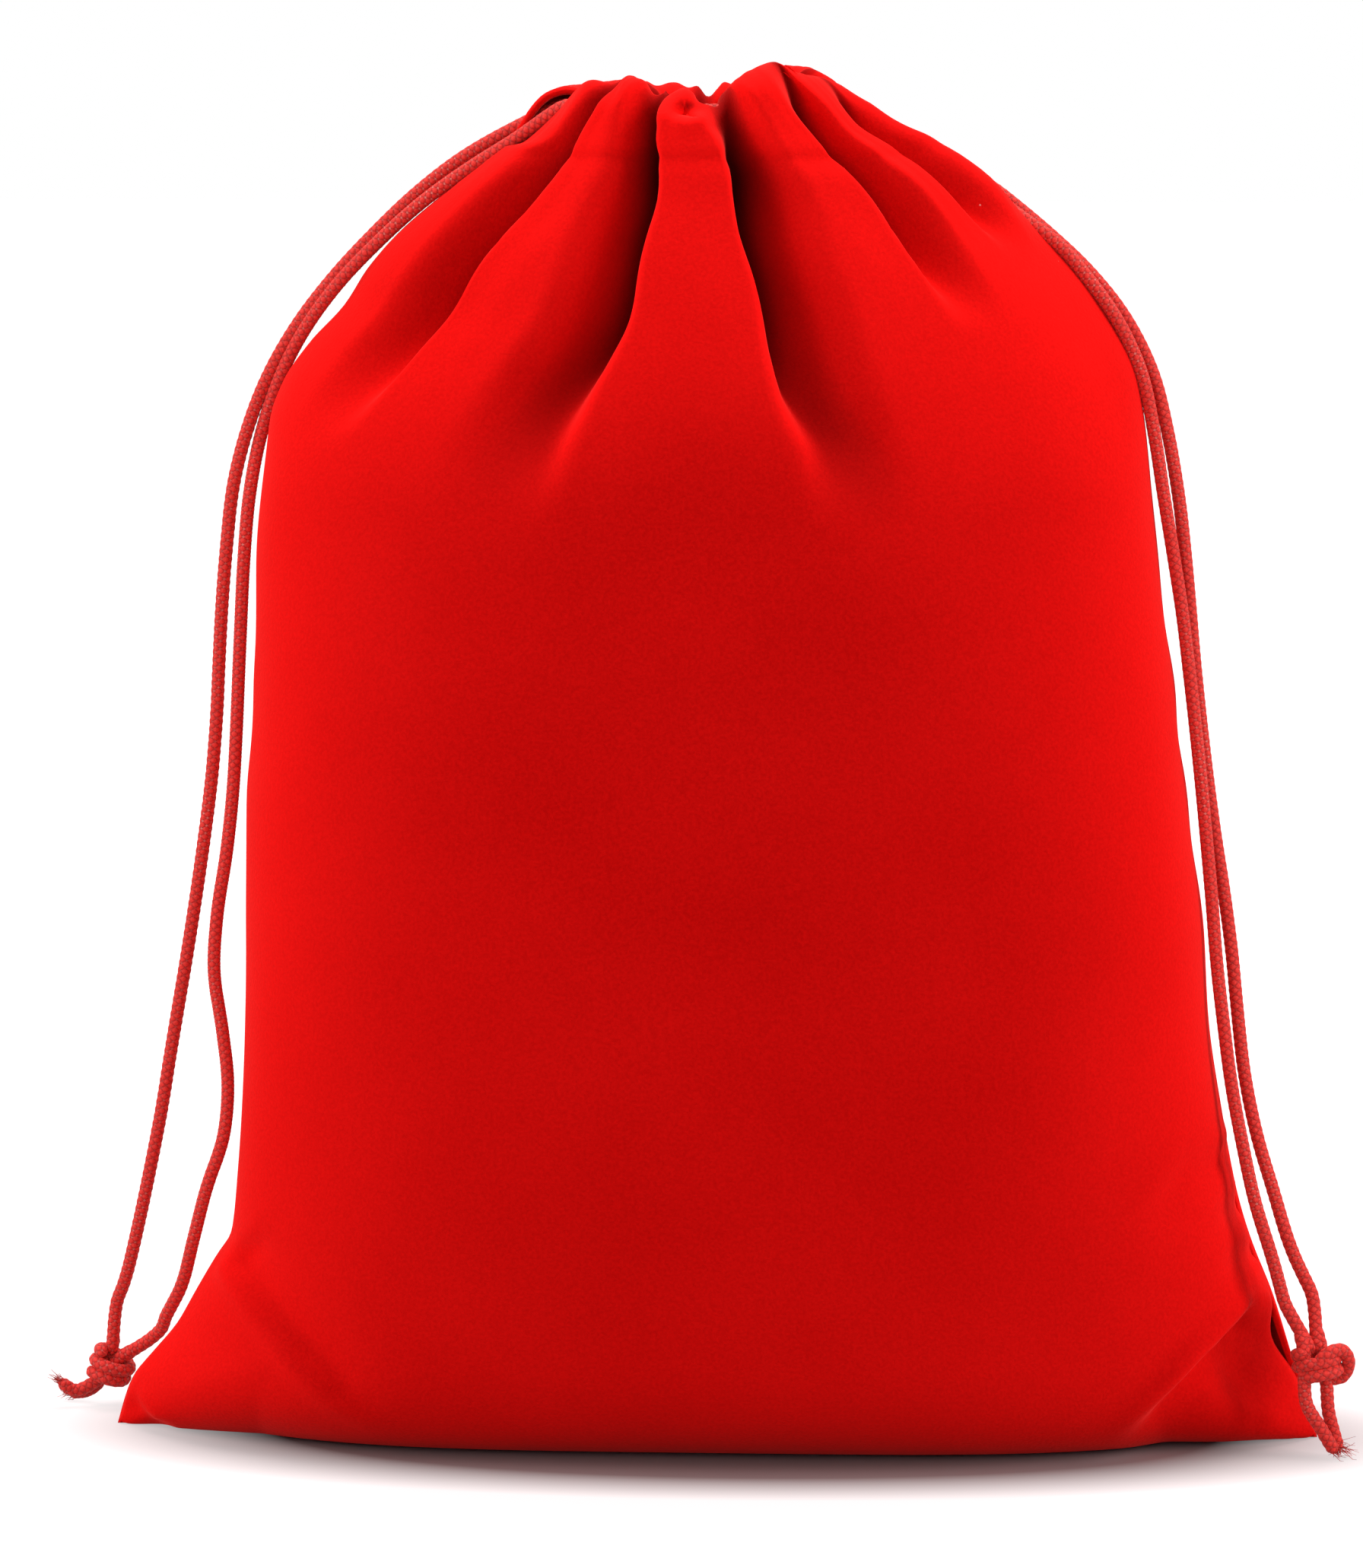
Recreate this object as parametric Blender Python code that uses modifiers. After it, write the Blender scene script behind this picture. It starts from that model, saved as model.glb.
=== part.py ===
"""A drawstring pouch of red velvet, filled out and drawn shut, with its two drawcords.

One length of cloth is folded at the bottom and sewn up both sides. Its top edges turn inside and are
stitched down as a casing, which is open at both side seams. Each cord goes in at its own side, right
round the mouth inside the casing and out again, and its two ends are knotted together.
The pouch stands on z = 0 with its front towards -Y.
"""

import math

import bmesh
import bpy
import numpy as np
from mathutils import Vector

# Cloth, in metres
PANEL_WIDTH = 0.248
POUCH_HEIGHT = 0.277
CLOTH = 0.0012
BELLY_DEPTH = 0.112
BASE_DEPTH = 0.080
BASE_CORNER_RADIUS = 0.022
BASE_CORNER_LARGEST_SHARE = 0.8
VALLEY_DEPTH = 0.021

# Casing and mouth
CASING_HEIGHT = 0.014
CASING_TOP_ROUND = 0.0046
CASING_SHOULDER_RISE = 0.70
CASING_SHOULDER_REACH = 0.8
LOOP_WIDTH = 0.054
LOOP_DEPTH = 0.032
LOOP_MIDDLE_X = -0.0010
HEM_LOBE = 0.0016
SLIT_HALF_WIDTH = 0.0065
SLIT_HALFWAY_UP = 0.6

# Cords and knots
CORD_DIAMETER = 0.0028
CORD_CLEARANCE = 0.0011
CORD_SPACING = 0.0005
CORD_STEP = 0.0098
CORD_TIGHT_STEP = 0.0052
CORD_TIGHT_RADIUS = 0.030
CORD_LEAVES_AT = 32
LOOP_POINTS = 24
CURVE_STEPS = 24
JOIN_GAP = 0.0003
KNOT_CORE_DIAMETER = 0.0062
KNOT_CORE_HEIGHT = 0.0068
KNOT_WRAP_SEGMENTS = 16
KNOT_CORD_SEGMENTS = 8
KNOT_APPROACH = 0.0050

# The silhouette from the front: share of the pouch's height, share of half the panel's width
LEFT_OUTLINE = (
    (0.0, 1.0), (0.036, 0.976), (0.08, 0.898), (0.126, 0.835), (0.152, 0.806), (0.195, 0.800),
    (0.307, 0.781), (0.523, 0.760), (0.65, 0.748), (0.73, 0.728), (0.783, 0.694), (0.84, 0.613),
    (0.892, 0.517), (0.926, 0.431), (0.95, 0.363), (1.0, 0.290),
)
RIGHT_OUTLINE = (
    (0.0, 1.0), (0.04, 0.976), (0.105, 0.922), (0.15, 0.887), (0.195, 0.860), (0.24, 0.839),
    (0.33, 0.806), (0.465, 0.777), (0.60, 0.748), (0.70, 0.716), (0.787, 0.692), (0.848, 0.621),
    (0.894, 0.532), (0.93, 0.444), (0.95, 0.379), (1.0, 0.238),
)
# Half the depth: share of the height, share of half the belly's depth
DEPTH_OUTLINE = (
    (0.055, 0.80), (0.14, 0.90), (0.29, 0.98), (0.43, 1.0), (0.58, 0.955), (0.69, 0.88),
    (0.79, 0.77), (0.87, 0.66), (0.92, 0.575), (0.95, 0.52), (1.0, 0.34),
)
# How the half section rounds off: share of the height, power across, power along
SECTION_SHAPE = (
    (0.0, 4.0, 1.0), (0.06, 3.4, 0.80), (0.17, 2.6, 0.46), (0.40, 2.4, 0.42), (0.70, 2.3, 0.46),
    (0.82, 2.0, 0.62), (0.90, 2.0, 0.60), (0.95, 2.0, 0.5), (1.0, 2.0, 0.5),
)

# The gathers' valleys: place across the panel at the mouth (-1 at the left seam, 1 at the right), the
# same at the lower end, and the lower end's height and the rise to full depth as shares of the height
FRONT_VALLEYS = (
    (-0.57, -0.70, 0.770, 0.12),
    (-0.28, -0.28, 0.700, 0.13),
    (0.05, 0.23, 0.700, 0.13),
    (0.38, 0.56, 0.825, 0.10),
    (0.72, 0.78, 0.880, 0.07),
)
BACK_VALLEYS = (
    (-0.70, -0.74, 0.840, 0.10),
    (-0.40, -0.46, 0.770, 0.12),
    (-0.06, -0.10, 0.700, 0.13),
    (0.30, 0.30, 0.720, 0.13),
    (0.66, 0.66, 0.790, 0.12),
)
EVEN_BELOW = 0.45
SEAM_VALLEY_START = 0.86
SEAM_VALLEY_RISE = 0.08
SEAM_VALLEY_SHARE = 0.5
STEEP_SIDE = 0.17
EASY_SIDE = 0.46
EVEN_SIDE = 0.50
STEEP_ON_LEFT_UP_TO = 0.1
STEEP_ON_RIGHT_FROM = -0.2
VALLEY_SHARPNESS = 1.3
COLUMNS_PER_RIDGE = 7
SECTION_SAMPLES = 160

# Rows up the panel, as shares of the way along the cloth from the bottom fold to the stitch line
PANEL_ROWS = (
    0.0, 0.035, 0.07, 0.105, 0.135, 0.165, 0.20, 0.25, 0.32, 0.40, 0.48, 0.56, 0.63, 0.69, 0.74, 0.785,
    0.83, 0.87, 0.91, 0.955, 1.0,
)

# The free cords' routes, from the casing's slit down to the knot
LEFT_INNER_ROUTE = (
    (-0.0300, -0.0042, 0.2726), (-0.0401, -0.0022, 0.2659), (-0.0501, -0.0018, 0.2596),
    (-0.0596, -0.0012, 0.2527), (-0.0686, -0.0005, 0.2446), (-0.0768, 0.0002, 0.2360),
    (-0.0838, 0.0007, 0.2264), (-0.0891, 0.0014, 0.2160), (-0.0928, 0.0016, 0.2046),
    (-0.0948, -0.0011, 0.1928), (-0.0960, -0.0012, 0.1797), (-0.0967, -0.0005, 0.1688),
    (-0.0974, 0.0000, 0.1562), (-0.0980, 0.0000, 0.1442), (-0.0988, 0.0000, 0.1323),
    (-0.1002, 0.0000, 0.1199), (-0.1022, 0.0000, 0.1073), (-0.1030, 0.0000, 0.0951),
    (-0.1015, 0.0000, 0.0834), (-0.1004, 0.0000, 0.0718), (-0.1015, 0.0005, 0.0604),
    (-0.1052, 0.0017, 0.0494), (-0.1083, 0.0036, 0.0381), (-0.1112, 0.0075, 0.0280),
    (-0.1150, 0.0115, 0.0205),
)
LEFT_OUTER_ROUTE = (
    (-0.0300, 0.0042, 0.2727), (-0.0417, 0.0029, 0.2680), (-0.0520, 0.0021, 0.2621),
    (-0.0614, 0.0025, 0.2548), (-0.0701, 0.0025, 0.2465), (-0.0780, 0.0025, 0.2379),
    (-0.0852, 0.0026, 0.2285), (-0.0911, 0.0025, 0.2182), (-0.0955, 0.0020, 0.2072),
    (-0.0981, 0.0003, 0.1955), (-0.0996, 0.0000, 0.1831), (-0.1007, 0.0002, 0.1708),
    (-0.1015, 0.0006, 0.1583), (-0.1021, 0.0009, 0.1478), (-0.1033, 0.0013, 0.1349),
    (-0.1050, 0.0018, 0.1224), (-0.1069, 0.0026, 0.1103), (-0.1091, 0.0037, 0.0975),
    (-0.1110, 0.0047, 0.0872), (-0.1129, 0.0057, 0.0769), (-0.1151, 0.0070, 0.0646),
    (-0.1177, 0.0087, 0.0524), (-0.1206, 0.0108, 0.0399), (-0.1236, 0.0135, 0.0285),
)
RIGHT_INNER_ROUTE = (
    (0.0285, -0.0036, 0.2690), (0.0389, -0.0010, 0.2660), (0.0495, -0.0006, 0.2586),
    (0.0595, -0.0011, 0.2521), (0.0690, -0.0021, 0.2458), (0.0757, -0.0023, 0.2390),
    (0.0822, -0.0024, 0.2303), (0.0869, -0.0023, 0.2194), (0.0891, -0.0022, 0.2070),
    (0.0908, -0.0033, 0.1947), (0.0929, -0.0040, 0.1823), (0.0948, -0.0041, 0.1705),
    (0.0963, -0.0043, 0.1586), (0.0976, -0.0047, 0.1478), (0.0989, -0.0052, 0.1360),
    (0.1000, -0.0058, 0.1252), (0.1012, -0.0068, 0.1127), (0.1023, -0.0083, 0.1000),
    (0.1038, -0.0098, 0.0875), (0.1055, -0.0114, 0.0753), (0.1078, -0.0132, 0.0635),
    (0.1104, -0.0149, 0.0521), (0.1140, -0.0165, 0.0407),
)
RIGHT_OUTER_ROUTE = (
    (0.0285, 0.0046, 0.2690), (0.0375, 0.0030, 0.2681), (0.0430, 0.0028, 0.2658), (0.0480, 0.0032, 0.2619),
    (0.0578, 0.0029, 0.2547), (0.0669, 0.0025, 0.2473), (0.0755, 0.0025, 0.2392),
    (0.0828, 0.0025, 0.2300), (0.0883, 0.0023, 0.2192), (0.0914, 0.0008, 0.2077),
    (0.0937, 0.0000, 0.1951), (0.0951, 0.0000, 0.1841), (0.0963, 0.0000, 0.1721),
    (0.0973, -0.0001, 0.1613), (0.0986, -0.0005, 0.1495), (0.1001, -0.0008, 0.1375),
    (0.1018, -0.0013, 0.1255), (0.1037, -0.0021, 0.1138), (0.1054, -0.0032, 0.1015),
    (0.1067, -0.0046, 0.0890), (0.1082, -0.0064, 0.0768), (0.1107, -0.0087, 0.0650),
    (0.1141, -0.0113, 0.0539), (0.1177, -0.0138, 0.0427),
)

# The knots: middle, where the front and back strands meet it, wraps (centre from the knot's middle,
# radius over the cord, two tilts) and the two tails
LEFT_KNOT = (-0.1275, 0.0160, 0.0085)
LEFT_STRAND_ENDS = ((-0.1212, 0.0152, 0.0130), (-0.1267, 0.0158, 0.0165))
LEFT_WRAPS = (((0.0, 0.0, 0.0022), 0.0050, 0.35, 0.28), ((0.0, 0.0, -0.0016), 0.0050, -0.25, -0.30))
LEFT_TAILS = (
    ((-0.1310, 0.0150, 0.0068), (-0.1345, 0.0140, 0.0040), (-0.1380, 0.0130, 0.0032)),
    ((-0.1305, 0.0175, 0.0045), (-0.1335, 0.0190, 0.0022), (-0.1375, 0.0200, 0.0019)),
)
RIGHT_KNOT = (0.1235, -0.0178, 0.0195)
RIGHT_STRAND_ENDS = ((0.1193, -0.0176, 0.0268), (0.1228, -0.0160, 0.0275))
RIGHT_WRAPS = (
    ((0.0, 0.0, 0.0014), 0.0050, 0.40, 0.30), ((0.0, 0.0, -0.0014), 0.0050, -0.30, -0.25),
    ((0.0036, -0.0004, 0.0004), 0.0031, 1.35, 0.30),
)
RIGHT_TAILS = (
    (
        (0.1250, -0.0186, 0.0140), (0.1268, -0.0192, 0.0095),
        (0.1281, -0.0196, 0.0050), (0.1287, -0.0198, 0.0012),
    ),
    (
        (0.1238, -0.0166, 0.0140), (0.1248, -0.0163, 0.0095),
        (0.1257, -0.0161, 0.0050), (0.1262, -0.0160, 0.0012),
    ),
)

# Colour, roughness and metallic value of each finish
VELVET_FINISH = ((0.62, 0.012, 0.010, 1.0), 0.9, 0.0)
CORD_FINISH = ((0.68, 0.03, 0.025, 1.0), 0.55, 0.0)

STITCH_HEIGHT = POUCH_HEIGHT - CASING_HEIGHT
WALL_TO_CORD = CORD_DIAMETER / 2 + CORD_CLEARANCE + CLOTH
UPPER_CORD_HEIGHT = POUCH_HEIGHT - CASING_TOP_ROUND
LOWER_CORD_HEIGHT = UPPER_CORD_HEIGHT - CORD_DIAMETER - CORD_SPACING


def curve_through(points, at):
    """Value at one place of a smooth curve through (place, value) points that never overshoots."""
    places = np.array([p[0] for p in points])
    values = np.array([p[1] for p in points])
    at = min(max(at, places[0]), places[-1])
    steps = np.diff(places)
    slopes = np.diff(values) / steps
    tangents = np.zeros(len(places))
    tangents[0] = slopes[0]
    tangents[-1] = slopes[-1]
    for i in range(1, len(slopes)):
        if slopes[i - 1] * slopes[i] > 0:
            tangents[i] = 2 * slopes[i - 1] * slopes[i] / (slopes[i - 1] + slopes[i])
    i = min(int(np.searchsorted(places, at, side="right")) - 1, len(steps) - 1)
    t = (at - places[i]) / steps[i]
    start = values[i] * (1 + 2 * t) * (1 - t) ** 2 + tangents[i] * steps[i] * t * (1 - t) ** 2
    end = values[i + 1] * t * t * (3 - 2 * t) + tangents[i + 1] * steps[i] * t * t * (t - 1)
    return float(start + end)


def ease(t):
    """0 to 1, flat at both ends."""
    t = min(max(t, 0.0), 1.0)
    return t * t * (3 - 2 * t)


def along_section(half_width, half_depth, across, along, place):
    """Point on a half section from x = -half_width to half_width, at a share of its arc from -1 to 1."""
    turn = np.linspace(-math.pi / 2, math.pi / 2, SECTION_SAMPLES)
    x = np.sin(turn)
    y = -np.clip(1 - np.abs(x) ** across, 0, 1) ** along
    x = x * half_width
    y = y * half_depth
    arc = np.concatenate(([0], np.cumsum(np.hypot(np.diff(x), np.diff(y)))))
    wanted = (place + 1) / 2 * arc[-1]
    return np.array((np.interp(wanted, arc, x), np.interp(wanted, arc, y)))


def envelope(place, height):
    """Front of the pouch over the ridges at a height, before the valleys are pressed in."""
    share = height / POUCH_HEIGHT
    left = curve_through(LEFT_OUTLINE, share) * PANEL_WIDTH / 2
    right = curve_through(RIGHT_OUTLINE, share) * PANEL_WIDTH / 2
    depths = ((0.0, BASE_DEPTH / BELLY_DEPTH),) + DEPTH_OUTLINE
    depth = curve_through(depths, share) * BELLY_DEPTH / 2
    across = curve_through([(s[0], s[1]) for s in SECTION_SHAPE], share)
    along = curve_through([(s[0], s[2]) for s in SECTION_SHAPE], share)
    point = along_section((left + right) / 2, depth, across, along, place)
    return point + np.array(((right - left) / 2, 0.0))


def cord_loop(place):
    """The oval that the cords follow inside the casing, front half."""
    point = along_section(LOOP_WIDTH / 2, LOOP_DEPTH / 2, 2.0, 0.5, place)
    return point + np.array((LOOP_MIDDLE_X, 0.0))


def outward(place):
    """Direction from the cords' oval to the ridges' tips at the stitch line, and the distance."""
    across = envelope(place, STITCH_HEIGHT) - cord_loop(place)
    distance = float(np.hypot(*across))
    return across / distance, distance


def valley_places(valleys, height):
    """Where the seams and valleys cross the panel at a height. They spread evenly towards the bottom."""
    share = height / POUCH_HEIGHT
    inner = []
    for i, (top, low, end, _) in enumerate(valleys):
        even = 2 * (i + 1) / (len(valleys) + 1) - 1
        place = even + (low - even) * ease(share / EVEN_BELOW)
        inner.append(place + (top - low) * ease((share - end) / (1 - end)))
    return [-1.0] + inner + [1.0]


def valley_depths(valleys, height):
    """How far each seam and valley is pressed in at a height, from 0 to 1."""
    share = height / POUCH_HEIGHT
    seam = SEAM_VALLEY_SHARE * ease((share - SEAM_VALLEY_START) / SEAM_VALLEY_RISE)
    return [seam] + [ease((share - end) / rise) for _, _, end, rise in valleys] + [seam]


def pressed_in(valleys, column, height):
    """Place across the panel, and the share of the valley depth there. A column counts ridges."""
    places = valley_places(valleys, height)
    depths = valley_depths(valleys, height)
    ridge = min(int(column), len(places) - 2)
    within = column - ridge
    place = places[ridge] + (places[ridge + 1] - places[ridge]) * within
    gathered = ease((height / POUCH_HEIGHT - SEAM_VALLEY_START) / SEAM_VALLEY_RISE)
    steep = STEEP_SIDE + (EVEN_SIDE - STEEP_SIDE) * gathered
    easy = EASY_SIDE + (EVEN_SIDE - EASY_SIDE) * gathered
    middle = (places[ridge] + places[ridge + 1]) / 2
    left_side = steep if middle < STEEP_ON_LEFT_UP_TO else easy
    right_side = steep if middle > STEEP_ON_RIGHT_FROM else easy
    left = depths[ridge] * (1 - ease(within / left_side)) ** VALLEY_SHARPNESS
    right = depths[ridge + 1] * (1 - ease((1 - within) / right_side)) ** VALLEY_SHARPNESS
    return place, min(left + right, 1.0)


def panel_point(valleys, column, rise):
    """Point of the front panel: column counts ridges, rise goes from the bottom fold to the stitches."""
    place, _ = pressed_in(valleys, column, 0.0)
    reach = -envelope(place, 0.0)[1]
    radius = min(BASE_CORNER_RADIUS, BASE_CORNER_LARGEST_SHARE * reach)
    flat = reach - radius
    quarter = radius * math.pi / 2
    way = rise * (flat + quarter + STITCH_HEIGHT - radius)
    if way <= flat:
        spread, height = way, 0.0
    elif way < flat + quarter:
        turn = (way - flat) / radius
        spread = flat + radius * math.sin(turn)
        height = radius * (1 - math.cos(turn))
    else:
        spread, height = reach, radius + way - flat - quarter
    place, press = pressed_in(valleys, column, height)
    point = envelope(place, height)
    if spread < reach:
        point = point * np.array((1.0, spread / reach))
    direction, distance = outward(place)
    at_stitches = distance - WALL_TO_CORD
    nearness = ease((height - STITCH_HEIGHT + CASING_HEIGHT) / CASING_HEIGHT)
    depth = VALLEY_DEPTH + (at_stitches - VALLEY_DEPTH) * nearness
    point = point - direction * depth * press
    return np.array((point[0], point[1], height))


def slit_column(valleys, column, opening):
    """A casing column drawn back from the side seams by the slit's half width."""
    last = len(valleys) + 1
    loop_length = math.pi * math.sqrt(((LOOP_WIDTH / 2) ** 2 + (LOOP_DEPTH / 2) ** 2) / 2)
    places = valley_places(valleys, STITCH_HEIGHT)
    back = opening * SLIT_HALF_WIDTH / loop_length * 2
    if column < 1:
        return 1 - (1 - column) * (1 - back / (places[1] - places[0]))
    if column > last - 1:
        return last - 1 + (column - last + 1) * (1 - back / (places[-1] - places[-2]))
    return column


def casing_point(valleys, column, height, side, opening):
    """Point of the casing: side is 1 on the outer wall, -1 on the hem inside and 0 at the fold."""
    place, press = pressed_in(valleys, slit_column(valleys, column, opening), height)
    direction, _ = outward(place)
    loop = cord_loop(place)
    ridge = float(np.dot(envelope(place, height) - loop, direction))
    wall = ridge + (WALL_TO_CORD - ridge) * press
    hem = -WALL_TO_CORD - HEM_LOBE * press
    middle = (wall + hem) / 2
    offset = middle + (wall - middle) * side if side > 0 else middle + (middle - hem) * side
    point = loop + direction * offset
    return np.array((point[0], point[1], height))


def casing_rows(valleys):
    """Rows of the casing, each a function of the column: up the wall, over the fold, down the hem."""
    shoulder = UPPER_CORD_HEIGHT + CASING_TOP_ROUND * CASING_SHOULDER_RISE
    wall = (
        ((STITCH_HEIGHT + LOWER_CORD_HEIGHT) / 2, 1.0, SLIT_HALFWAY_UP),
        (LOWER_CORD_HEIGHT, 1.0, 1.0),
        (UPPER_CORD_HEIGHT, 1.0, 1.0),
        (shoulder, CASING_SHOULDER_REACH, 1.0),
        (POUCH_HEIGHT, 0.0, 1.0),
        (shoulder, -CASING_SHOULDER_REACH, 1.0),
        (UPPER_CORD_HEIGHT, -1.0, 1.0),
        (LOWER_CORD_HEIGHT - CORD_DIAMETER / 2, -1.0, 1.0),
    )
    rows = []
    for height, side, opening in wall:
        rows.append(lambda c, h=height, s=side, o=opening: casing_point(valleys, c, h, s, o))
    behind_wall = WALL_TO_CORD - 2 * CLOTH - JOIN_GAP

    def hem_end(column):
        place, _ = pressed_in(valleys, slit_column(valleys, column, 1.0), STITCH_HEIGHT)
        point = cord_loop(place) + outward(place)[0] * behind_wall
        return np.array((point[0], point[1], STITCH_HEIGHT))

    def hem_middle(column):
        above = casing_point(valleys, column, LOWER_CORD_HEIGHT - CORD_DIAMETER / 2, -1.0, 1.0)
        return (hem_end(column) + above) / 2

    return rows + [hem_middle, hem_end]


def new_material(name, finish):
    colour, roughness, metallic = finish
    material = bpy.data.materials.new(name)
    material.use_nodes = True
    shader = material.node_tree.nodes["Principled BSDF"]
    shader.inputs["Base Color"].default_value = colour
    shader.inputs["Roughness"].default_value = roughness
    shader.inputs["Metallic"].default_value = metallic
    material.diffuse_color = colour
    return material


def build_cloth():
    """The cloth as one open surface: both panels, joined at the bottom fold and the side seams."""
    mesh = bmesh.new()
    shared = {}
    for side, valleys in ((1, FRONT_VALLEYS), (-1, BACK_VALLEYS)):
        last = len(valleys) + 1
        count = last * COLUMNS_PER_RIDGE
        columns = [last * i / count for i in range(count + 1)]
        grid = []
        for number, rise in enumerate(PANEL_ROWS):
            row = []
            for i, column in enumerate(columns):
                both = number == 0 or i in (0, count)
                if both and (number, i) in shared:
                    row.append(shared[number, i])
                    continue
                x, y, z = panel_point(valleys, column, rise)
                row.append(mesh.verts.new((x, 0.0 if both else y * side, z)))
                if both:
                    shared[number, i] = row[-1]
            grid.append(row)
        for point_of in casing_rows(valleys):
            row = []
            for column in columns:
                x, y, z = point_of(column)
                row.append(mesh.verts.new((x, y * side, z)))
            grid.append(row)
        for low, high in zip(grid, grid[1:]):
            for i in range(count):
                corners = (low[i], low[i + 1], high[i + 1], high[i])
                faces = [corners]
                if low is grid[0] and i == 0:
                    faces = [corners[:3], (corners[0], corners[2], corners[3])]
                if low is grid[0] and i == count - 1:
                    faces = [(corners[0], corners[1], corners[3]), corners[1:]]
                for face in faces:
                    mesh.faces.new(face if side > 0 else face[::-1])
    return mesh


def build_pouch(material, collection):
    cloth = build_cloth()
    mesh = bpy.data.meshes.new("pouch_body")
    cloth.to_mesh(mesh)
    cloth.free()
    mesh.shade_smooth()
    mesh.materials.append(material)
    pouch = bpy.data.objects.new("pouch_body", mesh)
    collection.objects.link(pouch)
    thickness = pouch.modifiers.new("cloth thickness", "SOLIDIFY")
    thickness.thickness = CLOTH
    thickness.offset = -1.0
    thickness.use_rim = True
    return pouch


def catmull_rom(points):
    """Dense points of a smooth curve through the route's own points."""
    points = [Vector(p) for p in points]
    ends = [points[0] * 2 - points[1]] + points + [points[-1] * 2 - points[-2]]
    dense = []
    for a, b, c, d in zip(ends, ends[1:], ends[2:], ends[3:]):
        for i in range(CURVE_STEPS):
            t = i / CURVE_STEPS
            square = (a * 2 - b * 5 + c * 4 - d) * t * t
            cube = (b * 3 - a - c * 3 + d) * t ** 3
            dense.append((b * 2 + (c - a) * t + square + cube) / 2)
    return dense + [points[-1]]


def even_steps(dense):
    """Points along a dense curve, closer together where it turns tightly."""
    kept = [dense[0]]
    walked = 0.0
    for i in range(1, len(dense) - 1):
        walked += (dense[i] - dense[i - 1]).length
        before = dense[max(i - CURVE_STEPS // 2, 0)]
        after = dense[min(i + CURVE_STEPS // 2, len(dense) - 1)]
        turn = (dense[i] - before).angle(after - dense[i], 0.0)
        tight = turn * CORD_TIGHT_RADIUS > (after - before).length / 2
        if walked >= (CORD_TIGHT_STEP if tight else CORD_STEP):
            kept.append(dense[i])
            walked = 0.0
    if (kept[-1] - dense[-1]).length < CORD_TIGHT_STEP:
        kept.pop()
    return kept + [dense[-1]]


def loop_points(height, start_angle, sweep, count):
    """Points round the cords' oval inside the casing."""
    points = []
    for i in range(count + 1):
        angle = start_angle + sweep * i / count
        x = LOOP_MIDDLE_X + LOOP_WIDTH / 2 * math.cos(angle)
        points.append((x, LOOP_DEPTH / 2 * math.sin(angle), height))
    return points


def new_tube(name, points, diameter, collection, material):
    """A round cord through its points, with closed ends."""
    curve = bpy.data.curves.new(name, "CURVE")
    curve.dimensions = "3D"
    curve.bevel_depth = diameter / 2
    curve.bevel_resolution = 2
    curve.use_fill_caps = True
    spline = curve.splines.new("POLY")
    spline.points.add(len(points) - 1)
    for point, place in zip(spline.points, points):
        point.co = (*place, 1.0)
    curve.materials.append(material)
    tube = bpy.data.objects.new(name, curve)
    collection.objects.link(tube)
    return tube


def approach(middle, end):
    """The last two points of a strand: it runs straight at its end on the knot and stops just short."""
    way = (Vector(end) - Vector(middle)).normalized()
    return [Vector(end) + way * KNOT_APPROACH, Vector(end) + way * JOIN_GAP]


def build_cord(name, routes, height, from_left, knot, strand_ends, collection, material):
    """One drawcord: up its front strand, round the mouth inside the casing and down its back strand."""
    leave = math.radians(CORD_LEAVES_AT)
    if from_left:
        loop = loop_points(height, -math.pi + leave, 2 * (math.pi - leave), LOOP_POINTS)
    else:
        loop = loop_points(height, -leave, -2 * (math.pi - leave), LOOP_POINTS)
    front = list(routes[0]) + approach(knot, strand_ends[0])
    back = list(routes[1]) + approach(knot, strand_ends[1])
    dense = catmull_rom(front[::-1] + loop + back)
    between = even_steps(dense[CURVE_STEPS:-CURVE_STEPS])
    return new_tube(name, [dense[0]] + between + [dense[-1]], CORD_DIAMETER, collection, material)


def as_mesh(tube):
    """A curve turned into a mesh object with its caps welded on, so that it can be joined."""
    depsgraph = bpy.context.evaluated_depsgraph_get()
    mesh = bpy.data.meshes.new_from_object(tube.evaluated_get(depsgraph))
    solid = bmesh.new()
    solid.from_mesh(mesh)
    bmesh.ops.remove_doubles(solid, verts=solid.verts, dist=0.00001)
    solid.to_mesh(mesh)
    solid.free()
    name, place, homes = tube.name, tube.matrix_world.copy(), list(tube.users_collection)
    curve = tube.data
    bpy.data.objects.remove(tube)
    bpy.data.curves.remove(curve)
    made = bpy.data.objects.new(name, mesh)
    made.matrix_world = place
    for collection in homes:
        collection.objects.link(made)
    return made


def joined(base, pieces):
    """Unions the pieces into the base, which keeps its name."""
    for piece in pieces:
        union = base.modifiers.new("joined " + piece.name, "BOOLEAN")
        union.operation = "UNION"
        union.solver = "EXACT"
        union.object = piece
        piece.hide_render = True
        piece.display_type = "WIRE"
    return base


def new_wrap(name, knot, wrap, helpers):
    """One turn of cord round a knot."""
    offset, radius, tilt, lean = wrap
    bpy.ops.mesh.primitive_torus_add(
        major_segments=KNOT_WRAP_SEGMENTS, minor_segments=KNOT_CORD_SEGMENTS,
        major_radius=radius - CORD_DIAMETER / 2, minor_radius=CORD_DIAMETER / 2,
        location=Vector(knot) + Vector(offset), rotation=(tilt, lean, 0.0))
    turn = bpy.context.object
    turn.name = name
    for other in turn.users_collection:
        other.objects.unlink(turn)
    helpers.objects.link(turn)
    return turn


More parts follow.
